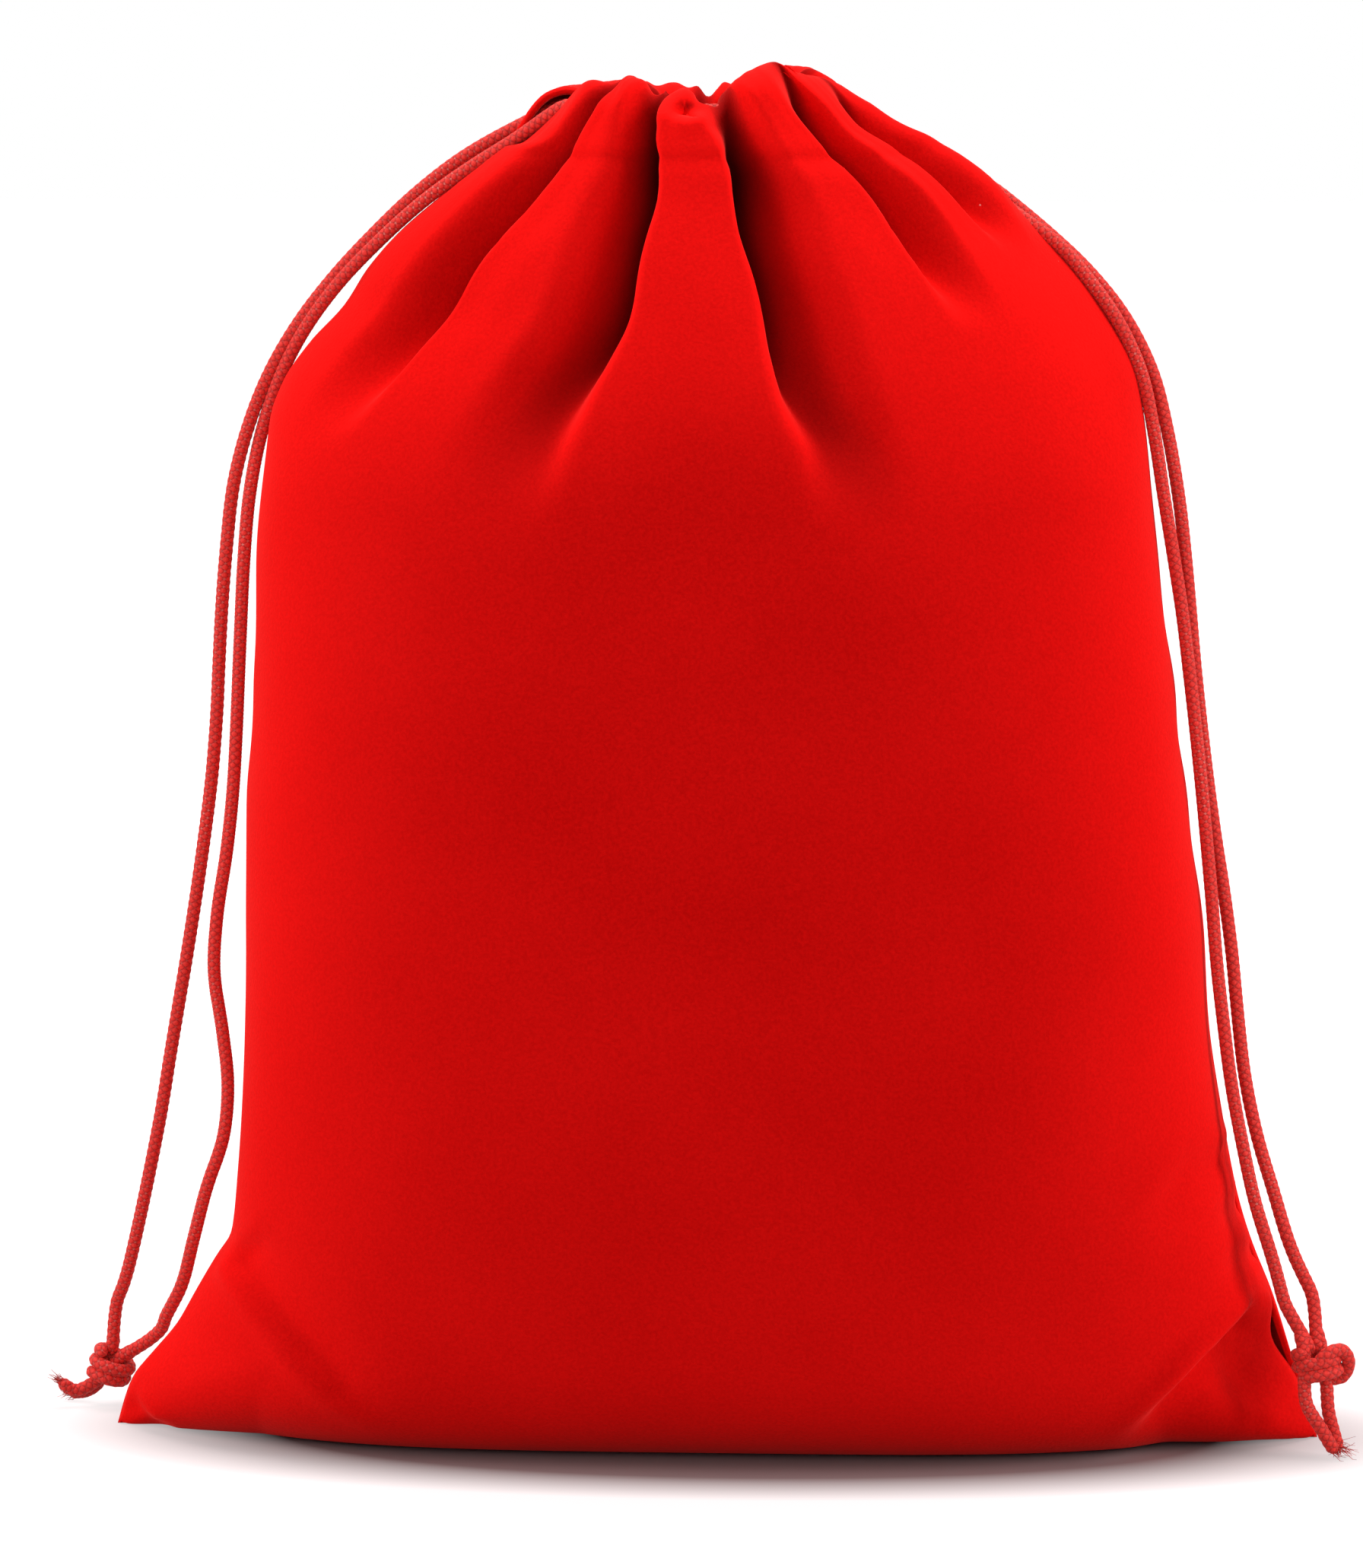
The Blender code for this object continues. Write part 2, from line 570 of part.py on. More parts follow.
def build_knot(name, knot, strand_ends, wraps, tails, collection, helpers, material):
    """A tight overhand knot tied in both ends of a cord: a core, its wraps, two strands, two tails."""
    half = Vector((0.0, 0.0, KNOT_CORE_HEIGHT / 2))
    core_ends = (Vector(knot) - half, Vector(knot) + half)
    core = as_mesh(new_tube(name, core_ends, KNOT_CORE_DIAMETER, collection, material))
    pieces = [new_wrap(f"{name}_wrap_{i + 1}", knot, wrap, helpers) for i, wrap in enumerate(wraps)]
    for i, end in enumerate(strand_ends):
        strand = new_tube(f"{name}_strand_{i + 1}", (knot, end), CORD_DIAMETER, helpers, material)
        pieces.append(as_mesh(strand))
    for i, tail in enumerate(tails):
        points = even_steps(catmull_rom([knot] + list(tail)))
        pieces.append(as_mesh(new_tube(f"{name}_tail_{i + 1}", points, CORD_DIAMETER, helpers, material)))
    return joined(core, pieces)


for obj in list(bpy.data.objects):
    bpy.data.objects.remove(obj)

pouch_parts = bpy.data.collections.new("drawstring_pouch")
bpy.context.scene.collection.children.link(pouch_parts)
knot_helpers = bpy.data.collections.new("knot_helpers")
bpy.context.scene.collection.children.link(knot_helpers)

velvet = new_material("red velvet", VELVET_FINISH)
braid = new_material("red braided cord", CORD_FINISH)

build_pouch(velvet, pouch_parts)
build_cord("left_drawcord", (LEFT_INNER_ROUTE, LEFT_OUTER_ROUTE), UPPER_CORD_HEIGHT, True,
           LEFT_KNOT, LEFT_STRAND_ENDS, pouch_parts, braid)
build_cord("right_drawcord", (RIGHT_INNER_ROUTE, RIGHT_OUTER_ROUTE), LOWER_CORD_HEIGHT, False,
           RIGHT_KNOT, RIGHT_STRAND_ENDS, pouch_parts, braid)
build_knot("left_cord_knot", LEFT_KNOT, LEFT_STRAND_ENDS, LEFT_WRAPS, LEFT_TAILS,
           pouch_parts, knot_helpers, braid)
build_knot("right_cord_knot", RIGHT_KNOT, RIGHT_STRAND_ENDS, RIGHT_WRAPS, RIGHT_TAILS,
           pouch_parts, knot_helpers, braid)
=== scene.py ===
# %% [markdown]
# # A drawstring pouch of red velvet
# The pouch is one length of velvet, folded at the bottom and sewn up both sides. Its top edges turn
# inside and make a casing, in which two braided cords run round the mouth, one from each side. This
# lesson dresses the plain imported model: the camera first, then the cords and knots, then the cloth,
# its stitches, the finishes, and the floor and light.

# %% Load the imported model
import math

import bpy
import numpy as np
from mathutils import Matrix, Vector


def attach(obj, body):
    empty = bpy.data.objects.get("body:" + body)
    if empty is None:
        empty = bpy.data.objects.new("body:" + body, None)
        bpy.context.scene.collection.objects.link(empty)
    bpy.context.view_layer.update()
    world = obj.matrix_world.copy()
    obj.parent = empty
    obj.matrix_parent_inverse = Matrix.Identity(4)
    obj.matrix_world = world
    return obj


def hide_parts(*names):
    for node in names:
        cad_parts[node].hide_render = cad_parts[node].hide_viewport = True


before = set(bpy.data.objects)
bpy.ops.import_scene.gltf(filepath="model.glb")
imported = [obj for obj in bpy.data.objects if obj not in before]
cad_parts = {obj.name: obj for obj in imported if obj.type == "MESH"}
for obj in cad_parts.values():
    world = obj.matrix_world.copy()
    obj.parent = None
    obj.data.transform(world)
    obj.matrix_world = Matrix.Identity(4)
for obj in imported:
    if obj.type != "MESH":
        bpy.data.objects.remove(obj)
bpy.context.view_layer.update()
print("packed nodes:", sorted(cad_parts))

# %% [markdown]
# The camera stands where the photographer stood: a little to the right of the middle, 8 degrees
# above the horizon, about 1.5 m away. Its focal length follows from the picture's scale.

# %% Camera
PHOTO_WIDTH, PHOTO_HEIGHT = 1792, 2061
PIXELS_PER_METRE = 6450
CAMERA_DISTANCE = 1.5
AIM = Vector((0.0, 0.0, 0.1385))
AIM_PIXEL = (940, 1006)
SENSOR_HEIGHT = 36
azimuth, elevation = math.radians(3), math.radians(8)
towards = Vector((math.sin(azimuth) * math.cos(elevation),
                  -math.cos(azimuth) * math.cos(elevation), math.sin(elevation)))
camera = bpy.data.objects.new("camera", bpy.data.cameras.new("camera"))
bpy.context.scene.collection.objects.link(camera)
camera.location = AIM + towards * CAMERA_DISTANCE
camera.rotation_euler = (-towards).to_track_quat("-Z", "Y").to_euler()
camera.data.sensor_fit = "VERTICAL"
camera.data.sensor_height = SENSOR_HEIGHT
camera.data.lens = PIXELS_PER_METRE * CAMERA_DISTANCE / PHOTO_HEIGHT * SENSOR_HEIGHT
camera.data.shift_x = -(AIM_PIXEL[0] - PHOTO_WIDTH / 2) / PHOTO_HEIGHT
camera.data.shift_y = (AIM_PIXEL[1] - PHOTO_HEIGHT / 2) / PHOTO_HEIGHT
camera.data.clip_end = 100
bpy.context.scene.camera = camera
print("camera:", round(camera.data.lens), "mm lens at", CAMERA_DISTANCE, "m")

# %% [markdown]
# ## Cords
# Each drawcord is a round braid 2.8 mm thick. It could be a curve with a round bevel, but a braid
# shows its lumpy edge against the white, so each strand is a mesh tube that is pushed in and out by
# the braid's own pattern. First come the tools: a smooth curve through points, even steps along it,
# and its length. The points are listed in tenths of a millimetre.

# %% A smooth curve in even steps
CORD_DIAMETER = 0.0028
TENTHS_IN_A_METRE = 10000


def metres(points):
    return tuple(tuple(v / TENTHS_IN_A_METRE for v in point) for point in points)


def smooth(points, pieces=24):
    p = np.array(points, dtype=float)
    p = np.vstack((2 * p[0] - p[1], p, 2 * p[-1] - p[-2]))
    t = np.arange(pieces)[:, None] / pieces
    dense = []
    for a, b, c, d in zip(p, p[1:], p[2:], p[3:]):
        square, cube = 2 * a - 5 * b + 4 * c - d, 3 * b - a - 3 * c + d
        dense.append((2 * b + (c - a) * t + square * t ** 2 + cube * t ** 3) / 2)
    return np.vstack(dense + [p[-2][None]])


def even_steps(path, step):
    way = np.concatenate(([0], np.cumsum(np.linalg.norm(np.diff(path, axis=0), axis=1))))
    wanted = np.linspace(0, way[-1], max(int(round(way[-1] / step)), 2) + 1)
    return np.stack([np.interp(wanted, way, path[:, i]) for i in range(3)], axis=1), wanted


def directions(path):
    along = np.gradient(path, axis=0)
    return along / np.linalg.norm(along, axis=1)[:, None]


def length_of(path):
    return float(np.linalg.norm(np.diff(path, axis=0), axis=1).sum())


print("cord:", CORD_DIAMETER * 1000, "mm")

# %% [markdown]
# Tubes and cloth are both grids of points, so one helper turns rows of points into a mesh. It also
# stores a UV map, and for the cloth a value at each point for the painted shade and highlight of its
# colour: high deep in a fold, negative on a crest.

# %% Mesh from a grid
def grid_mesh(name, points, u, v, closed=False, mask=None):
    rows, columns = points.shape[:2]
    index = np.arange(rows * columns).reshape(rows, columns)
    if closed:
        index = np.hstack((index, index[:, :1]))
        step = u[:, 1:2] - u[:, :1]
        u, v = np.hstack((u, u[:, -1:] + step)), np.hstack((v, v[:, :1]))
    near, far = slice(None, -1), slice(1, None)
    corners = ((near, near), (near, far), (far, far), (far, near))
    faces = np.stack([index[c].ravel() for c in corners], axis=1)
    mesh = bpy.data.meshes.new(name)
    mesh.from_pydata(points.reshape(-1, 3).tolist(), [], faces.tolist())
    uv = np.stack([np.stack([a[c].ravel() for c in corners], axis=1) for a in (u, v)], axis=2)
    mesh.uv_layers.new(name="UVMap").data.foreach_set("uv", uv.astype(np.float32).ravel())
    if mask is not None:
        values = mesh.attributes.new("fold", "FLOAT", "POINT").data
        values.foreach_set("value", mask.astype(np.float32).ravel())
    mesh.shade_smooth()
    return mesh


def placed(name, mesh):
    piece = bpy.data.objects.new(name, mesh)
    bpy.context.scene.collection.objects.link(piece)
    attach(piece, "root")
    return piece


print("grid helper ready")

# %% [markdown]
# The braid has four threads that wind to the left and four that wind to the right, each over one and
# under the next: a lattice of diamonds. It drives the relief here and the colour later.

# %% Braided tube
BRAID_PITCH = 0.0016
BRAID_THREADS = 4
BRAID_RELIEF = 0.00016
RELIEF_MIDDLE = 0.6
TUBE_SIDES = 24
TUBE_STEP = 0.0004
SMALLEST_END = 0.0004


def braid_relief(u, v):
    a, b = BRAID_THREADS * u + v, BRAID_THREADS * u - v
    across = np.abs(np.sin(np.pi * a)) * np.abs(np.sin(np.pi * b))
    return BRAID_RELIEF * (np.sqrt(across) - RELIEF_MIDDLE)


def braided_tube(name, path):
    centre, way = even_steps(path, TUBE_STEP)
    along = directions(centre)
    side = np.cross(along[0], (0.0, 0.0, 1.0) if abs(along[0][2]) < 0.9 else (1.0, 0.0, 0.0))
    sides = []
    for direction in along:
        side = side - direction * np.dot(side, direction)
        side = side / np.linalg.norm(side)
        sides.append(side)
    sides = np.array(sides)
    other = np.cross(along, sides)
    u = np.tile(np.arange(TUBE_SIDES) / TUBE_SIDES, (len(way), 1))
    v = np.tile((way / BRAID_PITCH)[:, None], (1, TUBE_SIDES))
    radius = CORD_DIAMETER / 2 - BRAID_RELIEF * (1 - RELIEF_MIDDLE) + braid_relief(u, v)
    ends = np.minimum(way, way[-1] - way)[:, None]
    radius = radius * np.sqrt(np.clip(ends / (CORD_DIAMETER / 2), SMALLEST_END, 1))
    turn = (2 * np.pi * u)[..., None]
    points = centre[:, None] + radius[..., None] * (
        np.cos(turn) * sides[:, None] + np.sin(turn) * other[:, None])
    return placed(name, grid_mesh(name, points, u, v, closed=True))


print("braid:", 2 * BRAID_THREADS, "threads, pitch", BRAID_PITCH * 1000, "mm")

# %% [markdown]
# These are the routes of the four free strands, from the slits in the casing down to the knots. The
# cords are fixed: they lie over the shoulders of the cloth and then hang beside it to the knots.

# %% Routes of the four strands
LEFT_INNER = metres((
    (-300, -42, 2726), (-401, -22, 2659), (-501, -18, 2596), (-596, -12, 2527), (-686, -5, 2446),
    (-768, 2, 2360), (-838, 7, 2264), (-891, 14, 2160), (-928, 16, 2046), (-948, -11, 1928),
    (-960, -12, 1797), (-967, -5, 1688), (-974, 0, 1562), (-980, 0, 1442), (-988, 0, 1323),
    (-1002, 0, 1199), (-1022, 0, 1073), (-1030, 0, 951), (-1015, 0, 834), (-1004, 0, 718),
    (-1015, 5, 604), (-1052, 17, 494), (-1083, 36, 381), (-1112, 75, 280), (-1150, 115, 205),
))
LEFT_OUTER = metres((
    (-300, 42, 2727), (-414, 24, 2675), (-516, 15, 2616), (-610, 17, 2543), (-697, 19, 2460),
    (-776, 19, 2375), (-848, 20, 2282), (-908, 20, 2180), (-952, 18, 2071), (-981, 3, 1955),
    (-996, 0, 1831), (-1007, 2, 1708), (-1015, 6, 1583), (-1021, 9, 1478), (-1033, 13, 1349),
    (-1050, 18, 1224), (-1069, 26, 1103), (-1091, 37, 975), (-1110, 47, 872), (-1129, 57, 769),
    (-1151, 70, 646), (-1177, 87, 524), (-1206, 108, 399), (-1236, 135, 285),
))
RIGHT_INNER = metres((
    (285, -36, 2690), (340, -18, 2662), (389, -6, 2640), (440, -4, 2622), (495, -4, 2596),
    (545, -6, 2562), (595, -11, 2521), (687, -21, 2455), (751, -24, 2384), (813, -25, 2297),
    (861, -24, 2193), (888, -22, 2070), (908, -33, 1947), (929, -40, 1823), (948, -41, 1705),
    (963, -43, 1586), (976, -47, 1478), (989, -52, 1360), (1000, -58, 1252), (1012, -68, 1127),
    (1023, -83, 1000), (1038, -98, 875), (1055, -114, 753), (1078, -132, 635), (1104, -149, 521),
    (1140, -165, 407),
))
RIGHT_OUTER = metres((
    (285, 46, 2690), (340, 40, 2670), (385, 34, 2652), (430, 31, 2637), (480, 31, 2612),
    (530, 30, 2580), (578, 29, 2547), (669, 25, 2473), (755, 25, 2392), (828, 25, 2300),
    (883, 23, 2192), (914, 8, 2077), (937, 0, 1951), (951, 0, 1841), (963, 0, 1721),
    (973, -1, 1613), (986, -5, 1495), (1001, -8, 1375), (1018, -13, 1255), (1037, -21, 1138),
    (1054, -32, 1015), (1067, -46, 890), (1082, -64, 768), (1107, -87, 650), (1141, -113, 539),
    (1177, -138, 427),
))
LEFT_KNOT = np.array((-0.1275, 0.0160, 0.0085))
RIGHT_KNOT = np.array((0.1235, -0.0178, 0.0195))
print("routes:", [len(r) for r in (LEFT_INNER, LEFT_OUTER, RIGHT_INNER, RIGHT_OUTER)])

# %% [markdown]
# Inside the casing each cord runs in an oval round the mouth, the left one above the right one.
# Only its ends show, so the oval is a tube of its own, and the free strands start from it.

# %% The oval inside the casing
OVAL_WIDTH, OVAL_DEPTH, OVAL_MIDDLE_X = 0.054, 0.032, -0.0010
LEFT_CORD_HEIGHT, RIGHT_CORD_HEIGHT = 0.2724, 0.2691
LEAVES_AT = math.radians(32)
OVAL_POINTS = 60


def oval(angles, height):
    x = OVAL_MIDDLE_X + OVAL_WIDTH / 2 * np.cos(angles)
    return np.stack((x, OVAL_DEPTH / 2 * np.sin(angles), np.full_like(x, height)), axis=1)


inside_left = oval(np.linspace(-np.pi + LEAVES_AT, np.pi - LEAVES_AT, OVAL_POINTS),
                   LEFT_CORD_HEIGHT)
inside_right = oval(np.linspace(-LEAVES_AT, -2 * np.pi + LEAVES_AT, OVAL_POINTS),
                    RIGHT_CORD_HEIGHT)
hidden_left = braided_tube("left_cord_inside_casing", inside_left)
hidden_right = braided_tube("right_cord_inside_casing", inside_right)
print("ovals:", OVAL_WIDTH * 1000, "by", OVAL_DEPTH * 1000, "mm")

# %% [markdown]
# Each strand starts at its end of the oval, follows its route and ends inside the knot.

# %% The free strands
STRAND_STEP = 0.004
STRANDS = {
    "left_front_strand": (inside_left[0], LEFT_INNER, (-0.1212, 0.0152, 0.0130), LEFT_KNOT),
    "left_back_strand": (inside_left[-1], LEFT_OUTER, (-0.1267, 0.0158, 0.0165), LEFT_KNOT),
    "right_front_strand": (inside_right[0], RIGHT_INNER, (0.1193, -0.0176, 0.0268), RIGHT_KNOT),
    "right_back_strand": (inside_right[-1], RIGHT_OUTER, (0.1228, -0.0160, 0.0275), RIGHT_KNOT),
}
strands = {}
for name, (start, route, meets, knot) in STRANDS.items():
    way = (np.array(meets) - knot) / np.linalg.norm(np.array(meets) - knot)
    last = [meets + way * 0.0050, meets + way * 0.0010, knot + way * 0.0022]
    path, _ = even_steps(smooth([start, *route, *last]), STRAND_STEP)
    strands[name] = (braided_tube(name, smooth(path, 10)), path)
    print(name, round(length_of(path), 4), "m")

# %% [markdown]
# ## Knots
# Both ends of a cord are tied together in one overhand knot. A true knot could be simulated, but
# pulled tight it reads as a slanting band two cords wide, with the strands going in above and the
# tails coming out below, so each part is laid on a path of its own.

# %% A turn of cord round the knot
POINTS_A_TURN = 40


def turns(middle, axis, across, radii, rise, count, start):
    axis = np.array(axis) / np.linalg.norm(axis)
    across = np.array(across) - axis * np.dot(across, axis)
    across /= np.linalg.norm(across)
    third = np.cross(axis, across)
    t = np.linspace(0, 1, int(POINTS_A_TURN * count))
    angle = (start + 2 * np.pi * count * t)[:, None]
    return (middle + axis * (rise * (t - 0.5))[:, None]
            + radii[0] * np.cos(angle) * across + radii[1] * np.sin(angle) * third)


left_band = turns(LEFT_KNOT + (0.0002, 0, 0.0), (-0.42, 0.05, -0.9), (1, 0.1, -0.4),
                  (0.0036, 0.0034), 0.0052, 2.15, 2.2)
left_core = smooth(metres((
    (-1212, 150, 128), (-1252, 152, 106), (-1290, 152, 66), (-1325, 146, 42), (-1352, 142, 36),
    (-1382, 136, 58),
)))
left_tail = smooth(metres((
    (-1262, 168, 150), (-1285, 172, 100), (-1300, 178, 50), (-1330, 188, 24), (-1372, 196, 18),
)))
right_band = turns(RIGHT_KNOT + (-0.0002, 0, 0), (-0.12, 0.1, 1), (1, 0, 0.15),
                   (0.0040, 0.0036), 0.0050, 2.1, 3.6)
right_bump = smooth(metres((
    (1225, -212, 190), (1252, -212, 222), (1282, -196, 226), (1296, -180, 198), (1284, -168, 166),
    (1250, -170, 160),
)))
right_core = smooth(metres((
    (1194, -178, 268), (1206, -190, 215), (1206, -206, 160), (1212, -212, 115), (1240, -212, 68),
    (1262, -206, 30), (1272, -203, 14),
)))
right_tail = smooth(metres((
    (1228, -162, 272), (1244, -166, 210), (1252, -174, 150), (1256, -178, 98), (1268, -178, 50),
    (1279, -176, 14),
)))
print("bands of two turns:", len(left_band), "and", len(right_band), "points")

# %% [markdown]
# The cut ends have frayed. Each tip is a small brush of fibres, spread by a seeded random generator
# so that they fall the same way each time.

# %% Frayed tips
FIBRE, FIBRES, FIBRE_POINTS, FIBRE_SIDES = 0.00012, 46, 6, 3


def frayed(tip, direction, spread, length, seed):
    random = np.random.default_rng(seed)
    direction = np.array(direction) / np.linalg.norm(direction)
    verts, faces = [], []
    for _ in range(FIBRES):
        off = random.normal(size=3) * 0.00055
        lean = direction + random.normal(size=3) * spread
        lean[2] = max(lean[2], -tip[2] / length * 0.8)
        bend = random.normal(size=3) * 0.25
        reach = length * random.uniform(0.5, 1.0)
        t = np.linspace(0, 1, FIBRE_POINTS)[:, None]
        line = np.array(tip) + off - direction * 0.0012 + reach * (lean * t + bend * t ** 2)
        line[:, 2] = np.maximum(line[:, 2], FIBRE)
        first = len(verts)
        for k, point in enumerate(line):
            size = FIBRE * (1 - 0.12 * k)
            for a in range(FIBRE_SIDES):
                turn = 2 * np.pi * a / FIBRE_SIDES
                corner = (math.cos(turn), math.sin(turn), 0.4 * math.sin(turn))
                verts.append(point + size * np.array(corner))
        for k in range(FIBRE_POINTS - 1):
            n = first + FIBRE_SIDES * k
            for a in range(FIBRE_SIDES):
                b, above = (a + 1) % FIBRE_SIDES, n + FIBRE_SIDES
                faces.append((n + a, n + b, above + b, above + a))
    mesh = bpy.data.meshes.new("fibres")
    mesh.from_pydata([tuple(v) for v in verts], [], faces)
    mesh.uv_layers.new(name="UVMap")
    mesh.shade_smooth()
    return placed("fibres", mesh)


def joined(name, pieces):
    with bpy.context.temp_override(active_object=pieces[0], selected_editable_objects=pieces):
        bpy.ops.object.join()
    pieces[0].name = pieces[0].data.name = name
    return pieces[0]


left_knot = joined("left_knot", [
    *(braided_tube("laid", path) for path in (left_band, left_core, left_tail)),
    frayed((-0.1382, 0.0136, 0.0058), (-0.7, 0, 0.5), 0.22, 0.0024, 1),
    frayed((-0.1372, 0.0196, 0.0018), (-1, 0.1, 0.0), 0.22, 0.0022, 2)])
right_knot = joined("right_knot", [
    *(braided_tube("laid", path) for path in (right_band, right_bump, right_core, right_tail)),
    frayed((0.1274, -0.0202, 0.0016), (0.5, -0.2, -0.5), 0.35, 0.0030, 3),
    frayed((0.1281, -0.0176, 0.0018), (0.6, 0.0, -0.4), 0.35, 0.0032, 4)])
print("knots:", len(left_knot.data.polygons), "and", len(right_knot.data.polygons), "faces")

# %% [markdown]
# Now the imported model's drawcords and knots are hidden, since the tubes above stand in for them.

for name, (piece, path) in strands.items():
    knot = left_knot if name.startswith("left") else right_knot
    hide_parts(name.split("_")[0] + "_drawcord")
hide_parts("left_drawcord")
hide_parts("right_drawcord")
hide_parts("left_cord_knot")
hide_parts("right_cord_knot")

# %% [markdown]
# ## The cloth
# The velvet is full below and gathered at the mouth. It could be simulated, but its folds have to
# fall where the real ones do. So it is drawn by rules: a smooth envelope over the ridges, valleys
# pressed into it, and a casing that folds over the cords. These are its outlines, as shares of the
# height and of half the panel's width, and its sections from the floor up.

# %% Outlines of the pouch
PANEL_WIDTH, POUCH_HEIGHT, CLOTH = 0.248, 0.277, 0.0012
BELLY_DEPTH, BASE_DEPTH, BASE_CORNER_RADIUS = 0.112, 0.080, 0.022
VALLEY_DEPTH = 0.021
STITCH_HEIGHT, CASING_HEIGHT, CASING_TOP_ROUND = 0.263, 0.014, 0.0046
CORD_CLEARANCE = 0.0011
WALL_TO_CORD = CORD_DIAMETER / 2 + CORD_CLEARANCE + CLOTH
LEFT_OUTLINE = (
    (0.0, 1.0), (0.036, 0.976), (0.08, 0.898), (0.126, 0.835), (0.152, 0.806), (0.195, 0.800),
    (0.307, 0.781), (0.523, 0.760), (0.65, 0.748), (0.73, 0.734), (0.757, 0.728), (0.783, 0.709),
    (0.812, 0.667), (0.84, 0.609), (0.866, 0.570), (0.892, 0.521), (0.926, 0.431), (0.95, 0.363),
    (1.0, 0.290),
)
RIGHT_OUTLINE = (
    (0.0, 1.0), (0.04, 0.976), (0.105, 0.922), (0.15, 0.887), (0.195, 0.860), (0.24, 0.839),
    (0.33, 0.806), (0.465, 0.777), (0.60, 0.748), (0.70, 0.716), (0.787, 0.692), (0.848, 0.621),
    (0.894, 0.532), (0.93, 0.444), (0.95, 0.379), (1.0, 0.238),
)
DEPTH_OUTLINE = (
    (0.0, BASE_DEPTH / BELLY_DEPTH), (0.055, 0.80), (0.14, 0.90), (0.29, 0.98), (0.43, 1.0),
    (0.58, 0.955), (0.69, 0.88), (0.79, 0.77), (0.87, 0.66), (0.92, 0.575), (0.95, 0.52),
    (1.0, 0.34),
)
SECTION_SHAPE = (
    (0.0, 4.0, 1.0), (0.06, 3.4, 0.80), (0.17, 2.6, 0.46), (0.40, 2.4, 0.42), (0.70, 2.3, 0.46),
    (0.82, 2.0, 0.62), (0.90, 2.0, 0.60), (0.95, 2.0, 0.5), (1.0, 2.0, 0.5),
)
print("panel:", PANEL_WIDTH * 1000, "mm wide,", POUCH_HEIGHT * 1000, "mm high when filled")

# %% [markdown]
# The curve through those values must never swing past them, or the outline would wobble. A cubic
# does that if its slopes are the harmonic means of its neighbours'.

# %% A curve that never overshoots
def curve_through(points, at):
    x, y = np.array(points, dtype=float).T[:2]
    step, slope = np.diff(x), np.diff(y) / np.diff(x)
    same = slope[:-1] * slope[1:] > 0
    inner = np.where(same, 2 * slope[:-1] * slope[1:] / np.where(same, slope[:-1] + slope[1:], 1), 0)
    tangent = np.concatenate((slope[:1], inner, slope[-1:]))
    at = np.clip(at, x[0], x[-1])
    i = np.clip(np.searchsorted(x, at, side="right") - 1, 0, len(step) - 1)
    t = (at - x[i]) / step[i]
    return (y[i] * (1 + 2 * t) * (1 - t) ** 2 + tangent[i] * step[i] * t * (1 - t) ** 2
            + y[i + 1] * t * t * (3 - 2 * t) + tangent[i + 1] * step[i] * t * t * (t - 1))


def ease(t):
    t = np.clip(t, 0, 1)
    return t * t * (3 - 2 * t)


half_width = float(curve_through(LEFT_OUTLINE, 0.5) * PANEL_WIDTH / 2)
print("half width at mid height:", round(half_width, 4))

# %% [markdown]
# The envelope is worked out once, for a table of heights and places, and looked up from then on.

# %% The envelope over the ridges, as a table
TABLE_PLACES = np.linspace(-1, 1, 401)
TABLE_HEIGHTS = np.linspace(0, POUCH_HEIGHT, 556)
SECTION_POINTS = 600
LAST_CELL = 1.001


def half_section(half_width, half_depth, across, along, places):
    x = np.sin(np.linspace(-math.pi / 2, math.pi / 2, SECTION_POINTS))
    y = -np.clip(1 - np.abs(x) ** across, 0, 1) ** along
    x, y = x * half_width, y * half_depth
    arc = np.concatenate(([0], np.cumsum(np.hypot(np.diff(x), np.diff(y)))))
    wanted = (places + 1) / 2 * arc[-1]
    return np.stack((np.interp(wanted, arc, x), np.interp(wanted, arc, y)), axis=-1)


def envelope_row(height):
    share = height / POUCH_HEIGHT
    left, right = (float(curve_through(outline, share)) * PANEL_WIDTH / 2
                   for outline in (LEFT_OUTLINE, RIGHT_OUTLINE))
    depth = float(curve_through(DEPTH_OUTLINE, share)) * BELLY_DEPTH / 2
    across = float(curve_through([s[:2] for s in SECTION_SHAPE], share))
    along = float(curve_through([(s[0], s[2]) for s in SECTION_SHAPE], share))
    middle = ((right - left) / 2, 0)
    return half_section((left + right) / 2, depth, across, along, TABLE_PLACES) + middle


TABLE = np.array([envelope_row(h) for h in TABLE_HEIGHTS])


def envelope(place, height):
    columns, rows = len(TABLE_PLACES), len(TABLE_HEIGHTS)
    p = np.clip((place + 1) / 2 * (columns - 1), 0, columns - LAST_CELL)
    h = np.clip(height / POUCH_HEIGHT * (rows - 1), 0, rows - LAST_CELL)
    i, j = h.astype(int), p.astype(int)
    a, b = (h - i)[..., None], (p - j)[..., None]
    return ((TABLE[i, j] * (1 - b) + TABLE[i, j + 1] * b) * (1 - a)
            + (TABLE[i + 1, j] * (1 - b) + TABLE[i + 1, j + 1] * b) * a)


def cord_oval(place):
    return half_section(OVAL_WIDTH / 2, OVAL_DEPTH / 2, 2.0, 0.5, place) + (OVAL_MIDDLE_X, 0)


def outward(place):
    across = envelope(place, np.full_like(place, STITCH_HEIGHT)) - cord_oval(place)
    distance = np.linalg.norm(across, axis=-1)
    return across / distance[..., None], distance


print("envelope table:", TABLE.shape)

# %% [markdown]
# Each valley is given by its places across the panel, its lower end, and the height over which it
# deepens. The ridges are steep and hang over a little towards the two deep valleys in the middle.

